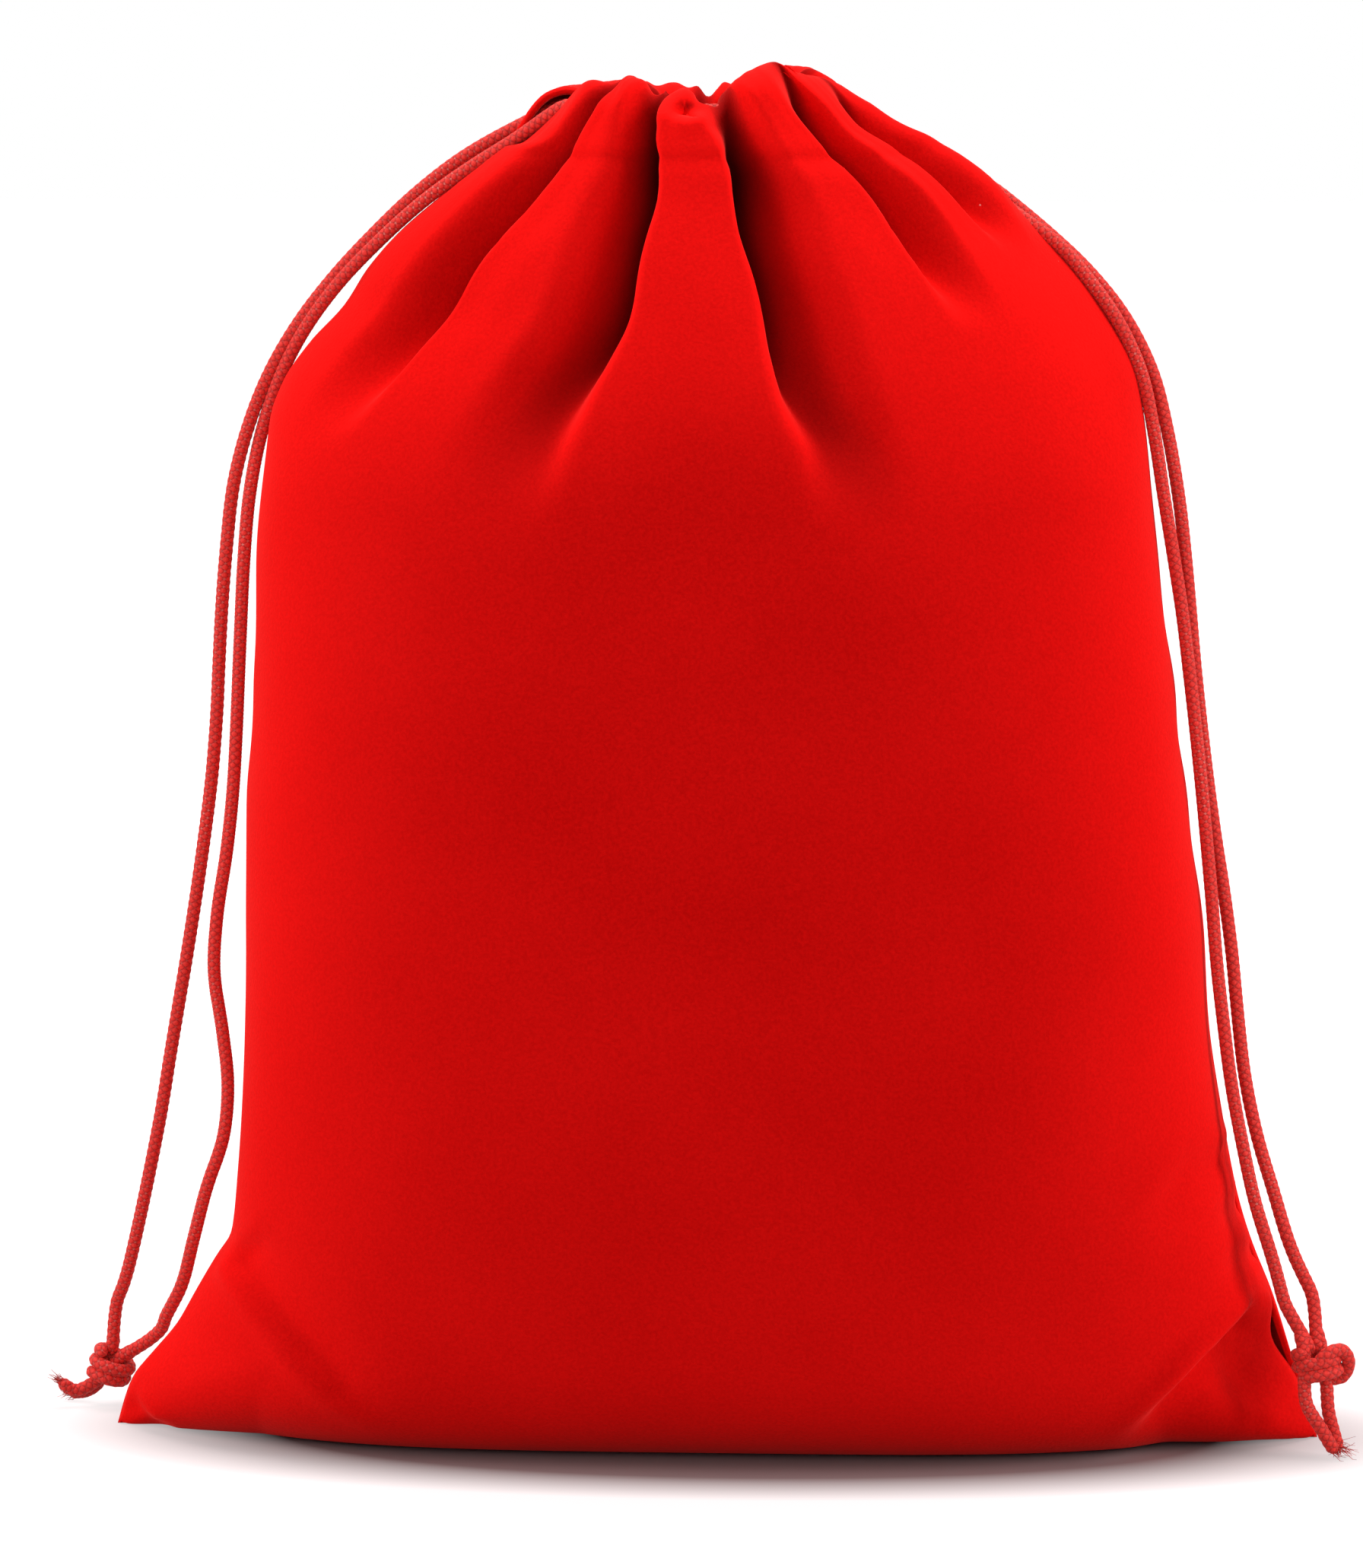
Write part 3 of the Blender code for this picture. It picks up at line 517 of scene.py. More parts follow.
# %% Valleys between the gathers
FRONT_VALLEYS = (
    (((0.73, -0.745), (0.77, -0.715), (0.88, -0.63), (0.95, -0.57), (1.0, -0.47)), 0.735, 0.15),
    (((0.68, -0.31), (0.74, -0.285), (0.79, -0.25), (0.83, -0.207), (0.87, -0.188), (0.92, -0.204),
      (0.95, -0.230), (1.0, -0.245)), 0.680, 0.19),
    (((0.68, 0.265), (0.744, 0.25), (0.79, 0.19), (0.848, 0.125), (0.92, 0.10), (1.0, 0.09)),
     0.680, 0.19),
    (((0.825, 0.58), (0.92, 0.54), (0.95, 0.49), (1.0, 0.39)), 0.825, 0.10),
    (((0.88, 0.79), (1.0, 0.72)), 0.880, 0.07),
)
BACK_VALLEYS = (
    (((0.84, -0.74), (1.0, -0.70)), 0.840, 0.10), (((0.77, -0.46), (1.0, -0.40)), 0.770, 0.12),
    (((0.70, -0.10), (1.0, -0.06)), 0.700, 0.13), (((0.72, 0.30), (1.0, 0.30)), 0.720, 0.13),
    (((0.79, 0.66), (1.0, 0.66)), 0.790, 0.12),
)
SEAM_VALLEY_START, SEAM_VALLEY_RISE = 0.86, 0.08
LEFT_SEAM_PRESS, RIGHT_SEAM_PRESS = 0.15, 0.30
STEEP_SIDE, EASY_SIDE = 0.15, 0.46
STEEP_GATHERED, EASY_GATHERED = 0.24, 0.50
STEEP_LEFT_OF, STEEP_RIGHT_OF = 0.1, -0.2
EVEN_BELOW = 0.45
DEEPENS, SIDE_CURVE = 1.25, 1.3
LEAN_REACH, OVERHANG = 2.6, 0.0016


def leaning(depth, steep, from_valley, side):
    return (depth ** 2 * steep * ease((LEAN_REACH * side - from_valley) / side)
            * ease(from_valley / side))


def pressed_in(valleys, column, height):
    share = height / POUCH_HEIGHT
    ones = np.ones_like(share)
    gathered = ease((share - SEAM_VALLEY_START) / SEAM_VALLEY_RISE)
    places, depths = [-ones], [LEFT_SEAM_PRESS * gathered]
    for i, (path, end, rise) in enumerate(valleys):
        even = 2 * (i + 1) / (len(valleys) + 1) - 1
        places.append(even + (curve_through(path, share) - even) * ease(share / EVEN_BELOW))
        depths.append(ease((share - end) / rise) ** DEEPENS)
    places, depths = np.stack(places + [ones]), np.stack(depths + [RIGHT_SEAM_PRESS * gathered])
    ridge = np.clip(column.astype(int), 0, len(valleys))[None]
    within = column - ridge[0]
    start, stop = (np.take_along_axis(places, ridge + k, 0)[0] for k in (0, 1))
    left_depth, right_depth = (np.take_along_axis(depths, ridge + k, 0)[0] for k in (0, 1))
    steep = STEEP_SIDE + (STEEP_GATHERED - STEEP_SIDE) * gathered
    easy = EASY_SIDE + (EASY_GATHERED - EASY_SIDE) * gathered
    middle = (start + stop) / 2
    steep_left, steep_right = middle < STEEP_LEFT_OF, middle > STEEP_RIGHT_OF
    left_side, right_side = np.where(steep_left, steep, easy), np.where(steep_right, steep, easy)
    left = left_depth * (1 - ease(within / left_side)) ** SIDE_CURVE
    right = right_depth * (1 - ease((1 - within) / right_side)) ** SIDE_CURVE
    lean = (leaning(right_depth, steep_right, 1 - within, right_side)
            - leaning(left_depth, steep_left, within, left_side))
    place = start + (stop - start) * within
    return place, np.minimum(left + right, 1), lean * (1 - 0.5 * gathered)


print("valleys:", len(FRONT_VALLEYS), "in front,", len(BACK_VALLEYS), "behind")

# %% [markdown]
# The rows of the sheet run from the bottom fold round the bottom corner and up the wall to the
# stitches. They are closest where the cloth turns or gathers most.

# %% Rows of the sheet
ROWS_ABOVE_FOLD = np.interp(np.arange(150), (0, 40, 84, 149), (0.0, 0.21, 0.66, 1.0))
CORNER_LARGEST_SHARE, TINY = 0.8, 1e-9


def wall_rows(valleys, column):
    column, rise = np.broadcast_arrays(column, ROWS_ABOVE_FOLD[:, None])
    zero = np.zeros_like(rise)
    place = pressed_in(valleys, column, zero)[0]
    reach = -envelope(place, zero)[..., 1]
    radius = np.minimum(BASE_CORNER_RADIUS, CORNER_LARGEST_SHARE * reach)
    flat, quarter = reach - radius, radius * math.pi / 2
    way = rise * (flat + quarter + STITCH_HEIGHT - radius)
    turn = np.clip((way - flat) / np.maximum(radius, TINY), 0, math.pi / 2)
    spread = np.where(way <= flat, way, flat + radius * np.sin(turn))
    height = np.where(way <= flat + quarter, radius * (1 - np.cos(turn)),
                      radius + way - flat - quarter)
    place, press, lean = pressed_in(valleys, column, height)
    point = envelope(place, height)
    point[..., 1] *= np.where(reach > TINY, np.minimum(spread / np.maximum(reach, TINY), 1), 1)
    direction, distance = outward(place)
    near = ease((height - STITCH_HEIGHT + CASING_HEIGHT) / CASING_HEIGHT)
    depth = VALLEY_DEPTH + (distance - WALL_TO_CORD - VALLEY_DEPTH) * near
    point = point - direction * (depth * press)[..., None]
    side = np.stack((-direction[..., 1], direction[..., 0]), axis=-1)
    point = point + side * (OVERHANG * lean)[..., None]
    return np.dstack((point, height)), press


print("rows up the wall:", len(ROWS_ABOVE_FOLD))

# %% [markdown]
# The casing goes on from there: up its outer side, over the cords and down behind them. It stops
# short of each side seam, which leaves the slit. Its rim sinks beside the tongue in the middle.

# %% The casing
FRONT_SLITS, BACK_SLITS = (0.0030, 0.0018), (0.0015, 0.0050)
UPRIGHT_CASING = 0.75
CASING_STEPS, TOP_STEPS = 15, 19
HEM_LOBE, HEM_GAP, HEM_TURN = 0.0016, 0.0003, 0.0047
TONGUE_COLUMN, TONGUE_REACH, TONGUE_FADE = 2.5, 0.85, 0.25
OVAL_LENGTH = math.pi * math.sqrt(((OVAL_WIDTH / 2) ** 2 + (OVAL_DEPTH / 2) ** 2) / 2)


def casing_rows(valleys, column, rim, slits, arch):
    over = np.linspace(0, math.pi, TOP_STEPS)
    climb = np.linspace(STITCH_HEIGHT, LEFT_CORD_HEIGHT, CASING_STEPS)[1:-1]
    down = np.linspace(LEFT_CORD_HEIGHT, STITCH_HEIGHT, CASING_STEPS)[1:]
    top = LEFT_CORD_HEIGHT + CASING_TOP_ROUND * np.sin(over)
    height = np.concatenate((climb, top, down))[:, None]
    side = np.concatenate((np.ones(len(climb)), np.cos(over), -np.ones(len(down))))[:, None]
    opening = ease((height - STITCH_HEIGHT) / (RIGHT_CORD_HEIGHT - STITCH_HEIGHT))
    opening = np.where(side < 0, np.maximum(opening, 1.0), opening)
    last = len(valleys) + 1
    back_left, back_right = (opening * width / OVAL_LENGTH * 2 for width in slits)
    tops = [v[0][-1][1] for v in valleys]
    left, right = tops[0] + 1, 1 - tops[-1]
    column = np.where(column < 1, 1 - (1 - column) * (1 - back_left / left), column)
    column = np.where(column > last - 1,
                      last - 1 + (column - last + 1) * (1 - back_right / right), column)
    column, height, side = np.broadcast_arrays(column, height, side)
    place, press, lean = pressed_in(valleys, column, height)
    direction, _ = outward(place)
    loop = cord_oval(place)
    upright = ease((column - 0.4) / 0.8) * ease((last - 0.4 - column) / 0.8)
    taken = height - (height - STITCH_HEIGHT) * UPRIGHT_CASING * upright
    ridge = envelope(place, height)
    ridge[..., 1] = envelope(place, taken)[..., 1]
    pressed = loop + direction * WALL_TO_CORD
    wall = ridge + (pressed - ridge) * press[..., None]
    hem_at = -WALL_TO_CORD - HEM_LOBE * press
    turned_in = ease((RIGHT_CORD_HEIGHT - CORD_DIAMETER / 2 - height) / HEM_TURN)
    hem_at = hem_at + (WALL_TO_CORD - 2 * CLOTH - HEM_GAP - hem_at) * turned_in * (side < 0)
    hem = loop + direction * hem_at[..., None]
    middle, share = (wall + hem) / 2, side[..., None]
    point = np.where(share > 0, middle + (wall - middle) * share, middle + (middle - hem) * share)
    across = np.stack((-direction[..., 1], direction[..., 0]), axis=-1)
    lean = lean * np.maximum(side, 0) * ease((LEFT_CORD_HEIGHT - height) / 0.005)
    point = point + across * (OVERHANG * lean)[..., None]
    off_tongue = 2 * np.abs(column - TONGUE_COLUMN)
    sinks = np.clip(off_tongue / TONGUE_REACH, 0, 1) ** 3
    sinks = arch * sinks * (1 - ease((off_tongue - TONGUE_REACH) / TONGUE_FADE))
    lift = curve_through(rim, point[..., 0]) - sinks
    raised = height + lift * ease((height - STITCH_HEIGHT) / CASING_HEIGHT)
    return np.dstack((point, raised)), press


print("casing:", CASING_HEIGHT * 1000, "mm high")

# %% [markdown]
# On top of that come the small forms that make it this pouch. The first is a rim that rises and
# falls with the gathers.

# %% The rim's rise and fall
FRONT_RIM = metres((
    (-440, -120), (-370, -84), (-320, -55), (-240, 12), (-195, 6), (-165, 22), (-132, 14),
    (-110, -16), (-85, -8), (-50, 2), (-15, -10), (15, -16), (45, 12), (80, 36), (125, 50),
    (170, 30), (230, 12), (300, -30), (400, -55),
))
BACK_RIM = metres((
    (-430, -60), (-340, -8), (-250, -4), (-160, 3), (-130, -13), (-93, -6), (-62, -16),
    (-45, -12), (-22, -34), (10, -6), (40, -16), (62, -6), (90, 15), (115, 30), (180, 28),
    (230, 8), (282, -38), (312, -68), (360, -90),
))
print("rim:", len(FRONT_RIM), "and", len(BACK_RIM), "levels")

# %% [markdown]
# The others are small pushes along the surface's own direction. A crease follows a line on the
# front, with a sharp lip on one side and a soft dip on the other, both fading towards its ends.

# %% Creases and puckers
def distance_to(line, x, z):
    best, along = np.full_like(x, 1.0), np.zeros_like(x)
    way = np.concatenate(([0], np.cumsum([math.dist(a, b) for a, b in zip(line, line[1:])])))
    side = np.zeros_like(x)
    for k, (a, b) in enumerate(zip(line, line[1:])):
        dx, dz = b[0] - a[0], b[1] - a[1]
        t = np.clip(((x - a[0]) * dx + (z - a[1]) * dz) / (dx * dx + dz * dz), 0, 1)
        px, pz = x - a[0] - t * dx, z - a[1] - t * dz
        d = np.hypot(px, pz)
        near = d < best
        best = np.where(near, d, best)
        side = np.where(near, np.sign(dx * pz - dz * px), side)
        along = np.where(near, (way[k] + t * (way[k + 1] - way[k])) / way[-1], along)
    return best, side, along


def bell(x, width):
    return np.exp(-(x / width) ** 2)


def crease(x, z, line, depth, width, lip, fades, lip_side):
    d, side, along = distance_to(line, x, z)
    fade = ease(along / fades[0]) * ease((1 - along) / fades[1])
    edge = 0.4 * bell(d - lip, 0.6 * lip) - bell(d, 0.6 * lip)
    return fade * depth * np.where(side * lip_side > 0, edge, -bell(d, width))


def ripples(u, v, waves):
    return sum(size * np.sin(2 * np.pi * (u * a + v * b) + turn) for a, b, turn, size in waves)


print("crease helpers ready")

# %% [markdown]
# These are soft waves, the stitches' groove, the seams' pull and puckers, the corners' creases, a
# pocket at the right one, and an eye under the tongue's rim, where the casing is pinched.

# %% Details pushed along the surface
SOFT_WAVES = (
    (1.9, 1.3, 0.4, 0.00060), (-2.6, 2.1, 1.9, 0.00040), (4.1, 3.0, 2.7, 0.00016),
    (2.0, -5.2, 4.4, 0.00016), (6.3, -4.1, 5.1, 0.00006),
)
LEFT_CREASE = ((-985, 400), (-810, 232), (-730, 162), (-620, 95))
RIGHT_CREASE = ((1135, 295), (1010, 188), (885, 60), (830, 10))
RIGHT_FOLD = ((1010, 660), (930, 560), (855, 480))
LEFT_TIP_FOLD = ((-1215, 60), (-1160, 10), (-1100, 5))
RIGHT_DENTS = (((980, 640), (1060, 590)), ((1020, 530), (1100, 480)), ((1035, 430), (1125, 385)))
CREASES = [
    (metres(LEFT_CREASE), 0.0024, 0.0090, 0.0042, (0.05, 0.5), -1),
    (metres(RIGHT_CREASE), 0.0052, 0.0085, 0.0045, (0.10, 0.6), -1),
    (metres(RIGHT_FOLD), 0.0010, 0.0070, 0.0042, (0.3, 0.6), -1),
    (metres(LEFT_TIP_FOLD), 0.0012, 0.0034, 0.0030, (0.15, 0.45), 1),
    *((metres(dent), 0.0009, 0.0034, 0.0030, (0.6, 0.2), 1) for dent in RIGHT_DENTS),
]
SEAM_WIDTH, SEAM_DEPTH, GROOVE_WIDTH, GROOVE_DEPTH = 0.035, 0.0009, 0.0012, 0.0004
SHOULDER_BUMP, POCKET_DEPTH, EYE_DEPTH, LIP_HEIGHT = 0.0024, 0.0055, 0.0056, 0.0008


def spot(x, z, middle, size):
    return np.exp(-((x - middle[0]) / size[0]) ** 2 - ((z - middle[1]) / size[1]) ** 2)


def details(points, press, column, last, front):
    x, y, z = points[..., 0], points[..., 1], points[..., 2]
    push = ripples(x / 0.25, z / 0.25, SOFT_WAVES) * ease(z / 0.02) * ease((0.262 - z) / 0.03)
    bow = STITCH_HEIGHT + 0.0009 * (1 - press)
    groove = bell(z - bow, GROOVE_WIDTH)
    push = push - GROOVE_DEPTH * groove * (1 - press)
    fine = np.sin(2 * np.pi * column * 5 + 1.3 * np.sin(column * 4)) * (1 - press)
    push = push + 0.00004 * fine * ease((z - 0.235) / 0.03) * (1 - 0.7 * groove)
    seam = np.minimum(column, last - column)
    push = push - SEAM_DEPTH * bell(seam, SEAM_WIDTH) * ease(z / 0.02)
    pucker = np.sin(z / 0.0062 + 3 * np.sin(z / 0.023)) * bell(seam, 0.24)
    push = push + 0.00028 * pucker * ease(z / 0.03) * ease((0.25 - z) / 0.05)
    if front:
        for line in CREASES:
            push = push + crease(x, z, *line)
        shoulder = bell(column - 5.5, 0.35) * ease((x - 0.024) / 0.007) * ease((0.068 - x) / 0.014)
        push = push + SHOULDER_BUMP * shoulder * ease((z - 0.235) / 0.015)
        push = push - POCKET_DEPTH * spot(x, z, (0.1120, 0.0160), (0.0055, 0.0085))
        eye = spot(x, z, (-0.0042, 0.2738), (0.0027, 0.0018))
        lip = spot(x, z - 45 * (x + 0.0044) ** 2, (-0.0044, 0.2706), (0.0034, 0.0018))
        push = push - EYE_DEPTH * eye + LIP_HEIGHT * lip
    return push


print("creases:", len(CREASES), "in front")

# %% [markdown]
# Gathered velvet gets painted shade and painted highlight: its colour is darkened in a fold, where
# shade falls, and made lighter along the upper crests and the casing. This value says which, from -1
# on a crest to 1 in a fold, and in the pocket, the eye and the slit.

# %% Painted shade in the folds and painted highlight on the crests
WIDER_SHADE_VALLEYS, PLAIN_BY_SEAM = ((3.2, 0.62), (1.8, 0.48)), 0.4
SEAM_SHADE, POCKET_SHADE, EYE_SHADE = 0.35, 0.36, 1.70


def painted_shade_and_highlight(points, press, columns, last, front):
    x, height = points[..., 0], points[..., 2]
    seam = np.minimum(columns, last - columns)
    power = 0.8 + 0.7 * ease((height - 0.195) / 0.04)
    if front:
        # Painted shade spreads wider and darker in the two middle valleys beside the tongue.
        wider_shade = sum(share * bell(columns - at, 0.4) for at, share in WIDER_SHADE_VALLEYS)
        power = power * (1 - wider_shade)
    # Painted shade: the deeper a point lies in a fold, the darker its colour is painted.
    fold = press ** power * ease((height - 0.178) / 0.035)
    fold = fold * (1 - 0.35 * ease((height - 0.258) / 0.02))
    fold = np.where(seam > PLAIN_BY_SEAM, fold, 0.0)
    if front:
        # Painted highlight: the crests of the upper ridges and of the casing get a lighter colour.
        crest = 0.5 * ease((height - 0.195) / 0.035) + 0.5 * ease((height - 0.2625) / 0.004)
        crest = (1 - press) ** 2 * crest
        fold = fold - crest * ease((seam - PLAIN_BY_SEAM) / 0.5)
        # Painted shade: the strip under the left cords, the pocket at the right corner and the eye
        # under the tongue.
        fold = fold + SEAM_SHADE * bell(columns, 0.25) * ease((height - 0.222) / 0.02)
        fold = fold + POCKET_SHADE * spot(x, height, (0.1120, 0.0200), (0.0070, 0.0110))
        fold = fold + EYE_SHADE * spot(x, height, (-0.0042, 0.2738), (0.0021, 0.0014))
    return fold


print("wider shade valleys:", len(WIDER_SHADE_VALLEYS))

# %% [markdown]
# Each half of the cloth is a piece of its own, so that each can have a fine mesh, and both keep the
# same edge along the seams and the bottom fold. The thickness comes from Solidify, set inwards.

# %% Build both halves
COLUMNS = 220
TONGUE_ARCH = 0.0022
SHARED_ROWS = 4
SEAM_EDGE = 0.99
SLIT_LEAN = 0.0040


def surface_normals(points):
    across, up = np.gradient(points, axis=1), np.gradient(points, axis=0)
    normal = np.cross(across, up)
    size = np.linalg.norm(normal, axis=-1, keepdims=True)
    return normal / np.maximum(size, 1e-12)


def cloth_half(name, valleys, rim, slits, front):
    last = len(valleys) + 1
    column = np.linspace(0, last, COLUMNS + 1)[None]
    wall, wall_press = wall_rows(valleys, column)
    arch = TONGUE_ARCH if front else 0.0
    casing, casing_press = casing_rows(valleys, column, rim, slits, arch)
    points, press = np.vstack((wall, casing)), np.vstack((wall_press, casing_press))
    columns = np.broadcast_to(column, press.shape)
    normal = surface_normals(points)
    push = details(points, press, columns, last, front)
    rows = np.arange(len(points))[:, None]
    shared = ease(np.minimum(rows, SHARED_ROWS) / SHARED_ROWS)
    edge = bell(np.minimum(columns, last - columns), 0.02)
    points = points + normal * (push * shared)[..., None]
    points[..., 1] = np.where((edge > SEAM_EDGE) & (rows < len(wall)), 0.0, points[..., 1])
    points[0, :, 1] = 0.0
    points[..., 2] = np.maximum(points[..., 2], 0.0)
    if not front:
        over = bell(columns, 0.16) * ease((points[..., 2] - 0.2635) / 0.006)
        points[..., 1] += SLIT_LEAN * over
        points = points * (1, -1, 1)
    lengths = np.linalg.norm(np.diff(points, axis=0), axis=-1)
    v = np.vstack((np.zeros_like(column), np.cumsum(lengths, axis=0)))
    u = np.broadcast_to(column / last * PANEL_WIDTH, v.shape)
    fold = painted_shade_and_highlight(points, press, columns, last, front)
    if not front:
        points, u, v, fold = points[:, ::-1], u[:, ::-1], v[:, ::-1], fold[:, ::-1]
    half = placed(name, grid_mesh(name, points, u, v, mask=fold))
    thickness = half.modifiers.new("cloth thickness", "SOLIDIFY")
    thickness.thickness, thickness.offset = CLOTH, -1.0
    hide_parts("pouch_body")
    return half, points


front_half, front_points = cloth_half("velvet_front", FRONT_VALLEYS, FRONT_RIM, FRONT_SLITS, True)
back_half, back_points = cloth_half("velvet_back", BACK_VALLEYS, BACK_RIM, BACK_SLITS, False)
for half in (front_half, back_half):
    print(half.name, len(half.data.polygons), "faces")

# %% [markdown]
# ## The casing's stitches
# A row of lockstitch holds the turned edge down. Each stitch is a short, arched grain of thread,
# half sunk in its groove.

# %% Lay the stitches
STITCH_LENGTH, STITCH_GAP, THREAD = 0.0022, 0.0006, 0.00034
STITCH_STEP, STITCH_SIDES = 0.00028, 7
STITCH_LIFT, STITCH_SINKS = 0.00010, 0.0005


def stitch_row(name, points):
    row = int(np.argmin(np.abs(points[:, COLUMNS // 2, 2] - STITCH_HEIGHT)))
    normal = surface_normals(points)[row]
    path, way = even_steps(points[row], STITCH_STEP)
    sample = np.linspace(0, 1, len(path))
    source = np.linspace(0, 1, len(normal))
    normal = np.stack([np.interp(sample, source, normal[:, i]) for i in range(3)], axis=1)
    across = np.cross(directions(path), normal)
    pitch = STITCH_LENGTH + STITCH_GAP
    phase = (way / pitch) % 1 * pitch / STITCH_LENGTH
    arch = np.sqrt(np.clip(1 - (2 * phase - 1) ** 2, 0.0, 1)) * (phase < 1)
    turn = np.arange(STITCH_SIDES)[None] / STITCH_SIDES * 2 * np.pi
    size = (THREAD / 2 * np.maximum(arch, 0.05) ** 0.5)[:, None]
    lift = (STITCH_LIFT - STITCH_SINKS * (1 - arch))[:, None]
    ring = (np.cos(turn) * size)[..., None] * across[:, None] + (
        np.sin(turn) * size + lift)[..., None] * normal[:, None]
    u = np.broadcast_to(turn / (2 * np.pi), ring.shape[:2])
    v = np.broadcast_to((way / THREAD)[:, None], ring.shape[:2])
    piece = placed(name, grid_mesh(name, path[:, None] + ring, u, v, closed=True))
    return piece


stitches = [stitch_row("stitches_front", front_points), stitch_row("stitches_back", back_points)]
print("stitch rows:", [len(s.data.polygons) for s in stitches])

# %% [markdown]
# ## Finishes
# Velvet and cord share one effect: an uneven nap, whose fibres catch more or less light. It is a
# node group, built once and used with its own scales by each material. It gives patches, fibres and
# rare specks of lint.

# %% The nap group
def new_group(name, inputs, outputs):
    group = bpy.data.node_groups.new(name, "ShaderNodeTree")
    for label, value in inputs:
        socket = group.interface.new_socket(label, in_out="INPUT", socket_type="NodeSocketFloat")
        socket.default_value = value
    for label, kind in outputs:
        group.interface.new_socket(label, in_out="OUTPUT", socket_type=kind)
    return group, group.nodes.new("NodeGroupInput"), group.nodes.new("NodeGroupOutput")


def node(tree, kind, **settings):
    made = tree.nodes.new(kind)
    for key, value in settings.items():
        setattr(made, key, value)
    return made


def fill(made, values):
    for label, value in values.items():
        made.inputs[label].default_value = value


def feed(tree, value, socket):
    if isinstance(value, (int, float)):
        socket.default_value = value
    elif isinstance(value, tuple):
        socket.default_value = (*value, 1.0)
    elif value is not None:
        tree.links.new(value, socket)


def maths(tree, operation, first, second=None):
    made = node(tree, "ShaderNodeMath", operation=operation)
    for socket, value in zip(made.inputs, (first, second)):
        feed(tree, value, socket)
    return made.outputs[0]


LINT_SCALE, LINT_RARITY, LINT_SIZE = 130.0, 0.965, 0.032
nap, nap_in, nap_out = new_group(
    "nap", [("Patch scale", 30.0), ("Fibre scale", 1800.0)],
    [("Patches", "NodeSocketFloat"), ("Fibres", "NodeSocketFloat"), ("Lint", "NodeSocketFloat")])
where = node(nap, "ShaderNodeTexCoord")
for label, scale, detail in (("Patches", "Patch scale", 4.0), ("Fibres", "Fibre scale", 2.0)):
    noise = node(nap, "ShaderNodeTexNoise")
    fill(noise, {"Detail": detail})
    nap.links.new(where.outputs["Object"], noise.inputs["Vector"])
    nap.links.new(nap_in.outputs[scale], noise.inputs["Scale"])
    nap.links.new(noise.outputs["Fac"], nap_out.inputs[label])
specks = node(nap, "ShaderNodeTexVoronoi")
fill(specks, {"Scale": LINT_SCALE})
nap.links.new(where.outputs["Object"], specks.inputs["Vector"])
chosen = node(nap, "ShaderNodeSeparateColor")
nap.links.new(specks.outputs["Color"], chosen.inputs[0])
rare = maths(nap, "GREATER_THAN", chosen.outputs[0], LINT_RARITY)
small = maths(nap, "LESS_THAN", specks.outputs["Distance"], LINT_SIZE)
nap.links.new(maths(nap, "MULTIPLY", rare, small), nap_out.inputs["Lint"])
print("nap group:", [s.name for s in nap.interface.items_tree])

# %% [markdown]
# ### Red velvet
# Cut pile has no gloss, but its fibres catch light at a glancing angle, so the pouch looks lighter
# towards its edges. That is painted sheen: the colour is made lighter as the cloth turns away from
# the eye. It also gets painted highlight on the upper crests and casing, and painted shade, nearly
# black, in the folds. The shader's own sheen, the same all over, is set on the shader itself.

# %% Velvet material
def mixed(tree, factor, first, second, blend="MIX"):
    made = node(tree, "ShaderNodeMix", data_type="RGBA", blend_type=blend)
    for socket, value in zip((0, 6, 7), (factor, first, second)):
        feed(tree, value, made.inputs[socket])
    return made.outputs[2]


def scaled(tree, value, low, high, to_low, to_high):
    made = node(tree, "ShaderNodeMapRange")
    for socket, number in zip(made.inputs[1:5], (low, high, to_low, to_high)):
        socket.default_value = number
    tree.links.new(value, made.inputs[0])
    return made.outputs[0]


def new_material(name):
    made = bpy.data.materials.new(name)
    made.use_nodes = True
    return made, made.node_tree, made.node_tree.nodes["Principled BSDF"]


def paint(tree, shader, colour, roughness):
    tree.links.new(colour, shader.inputs["Base Color"])
    tree.links.new(roughness, shader.inputs["Roughness"])


def bump(tree, height, strength, distance, shader):
    made = node(tree, "ShaderNodeBump")
    fill(made, {"Strength": strength, "Distance": distance})
    tree.links.new(height, made.inputs["Height"])
    tree.links.new(made.outputs[0], shader.inputs["Normal"])


VELVET_DEEP, VELVET_BRIGHT = (0.42, 0.0010, 0.0009), (0.93, 0.0055, 0.0045)
VELVET_PAINTED_SHADE, LINT = (0.035, 0.0004, 0.0004), (0.75, 0.30, 0.27)
velvet, tree, shader = new_material("red_velvet")
pile = node(tree, "ShaderNodeGroup", node_tree=nap)
fill(pile, {"Patch scale": 22.0, "Fibre scale": 1500.0})
patches = scaled(tree, pile.outputs["Patches"], 0.3, 0.7, 0.40, 0.52)
fibres = scaled(tree, pile.outputs["Fibres"], 0.3, 0.7, -0.10, 0.10)
# Painted sheen: the colour is lightened as the surface turns away from the eye.
facing = node(tree, "ShaderNodeLayerWeight")
fill(facing, {"Blend": 0.5})
turned_away = maths(tree, "POWER", facing.outputs["Facing"], 0.6)
painted_sheen = scaled(tree, turned_away, 0.0, 1.0, -0.32, 0.49)
in_fold = node(tree, "ShaderNodeAttribute", attribute_name="fold")
# Painted highlight: where the fold value is negative, on the upper crests and the casing, the colour
# is made lighter.
painted_crest_highlight = scaled(tree, in_fold.outputs["Fac"], -1.0, 0.0, 0.55, 0.0)
tone = maths(tree, "ADD", maths(tree, "ADD", patches, fibres), maths(tree, "ADD", painted_sheen, painted_crest_highlight))
colour = mixed(tree, tone, VELVET_DEEP, VELVET_BRIGHT)
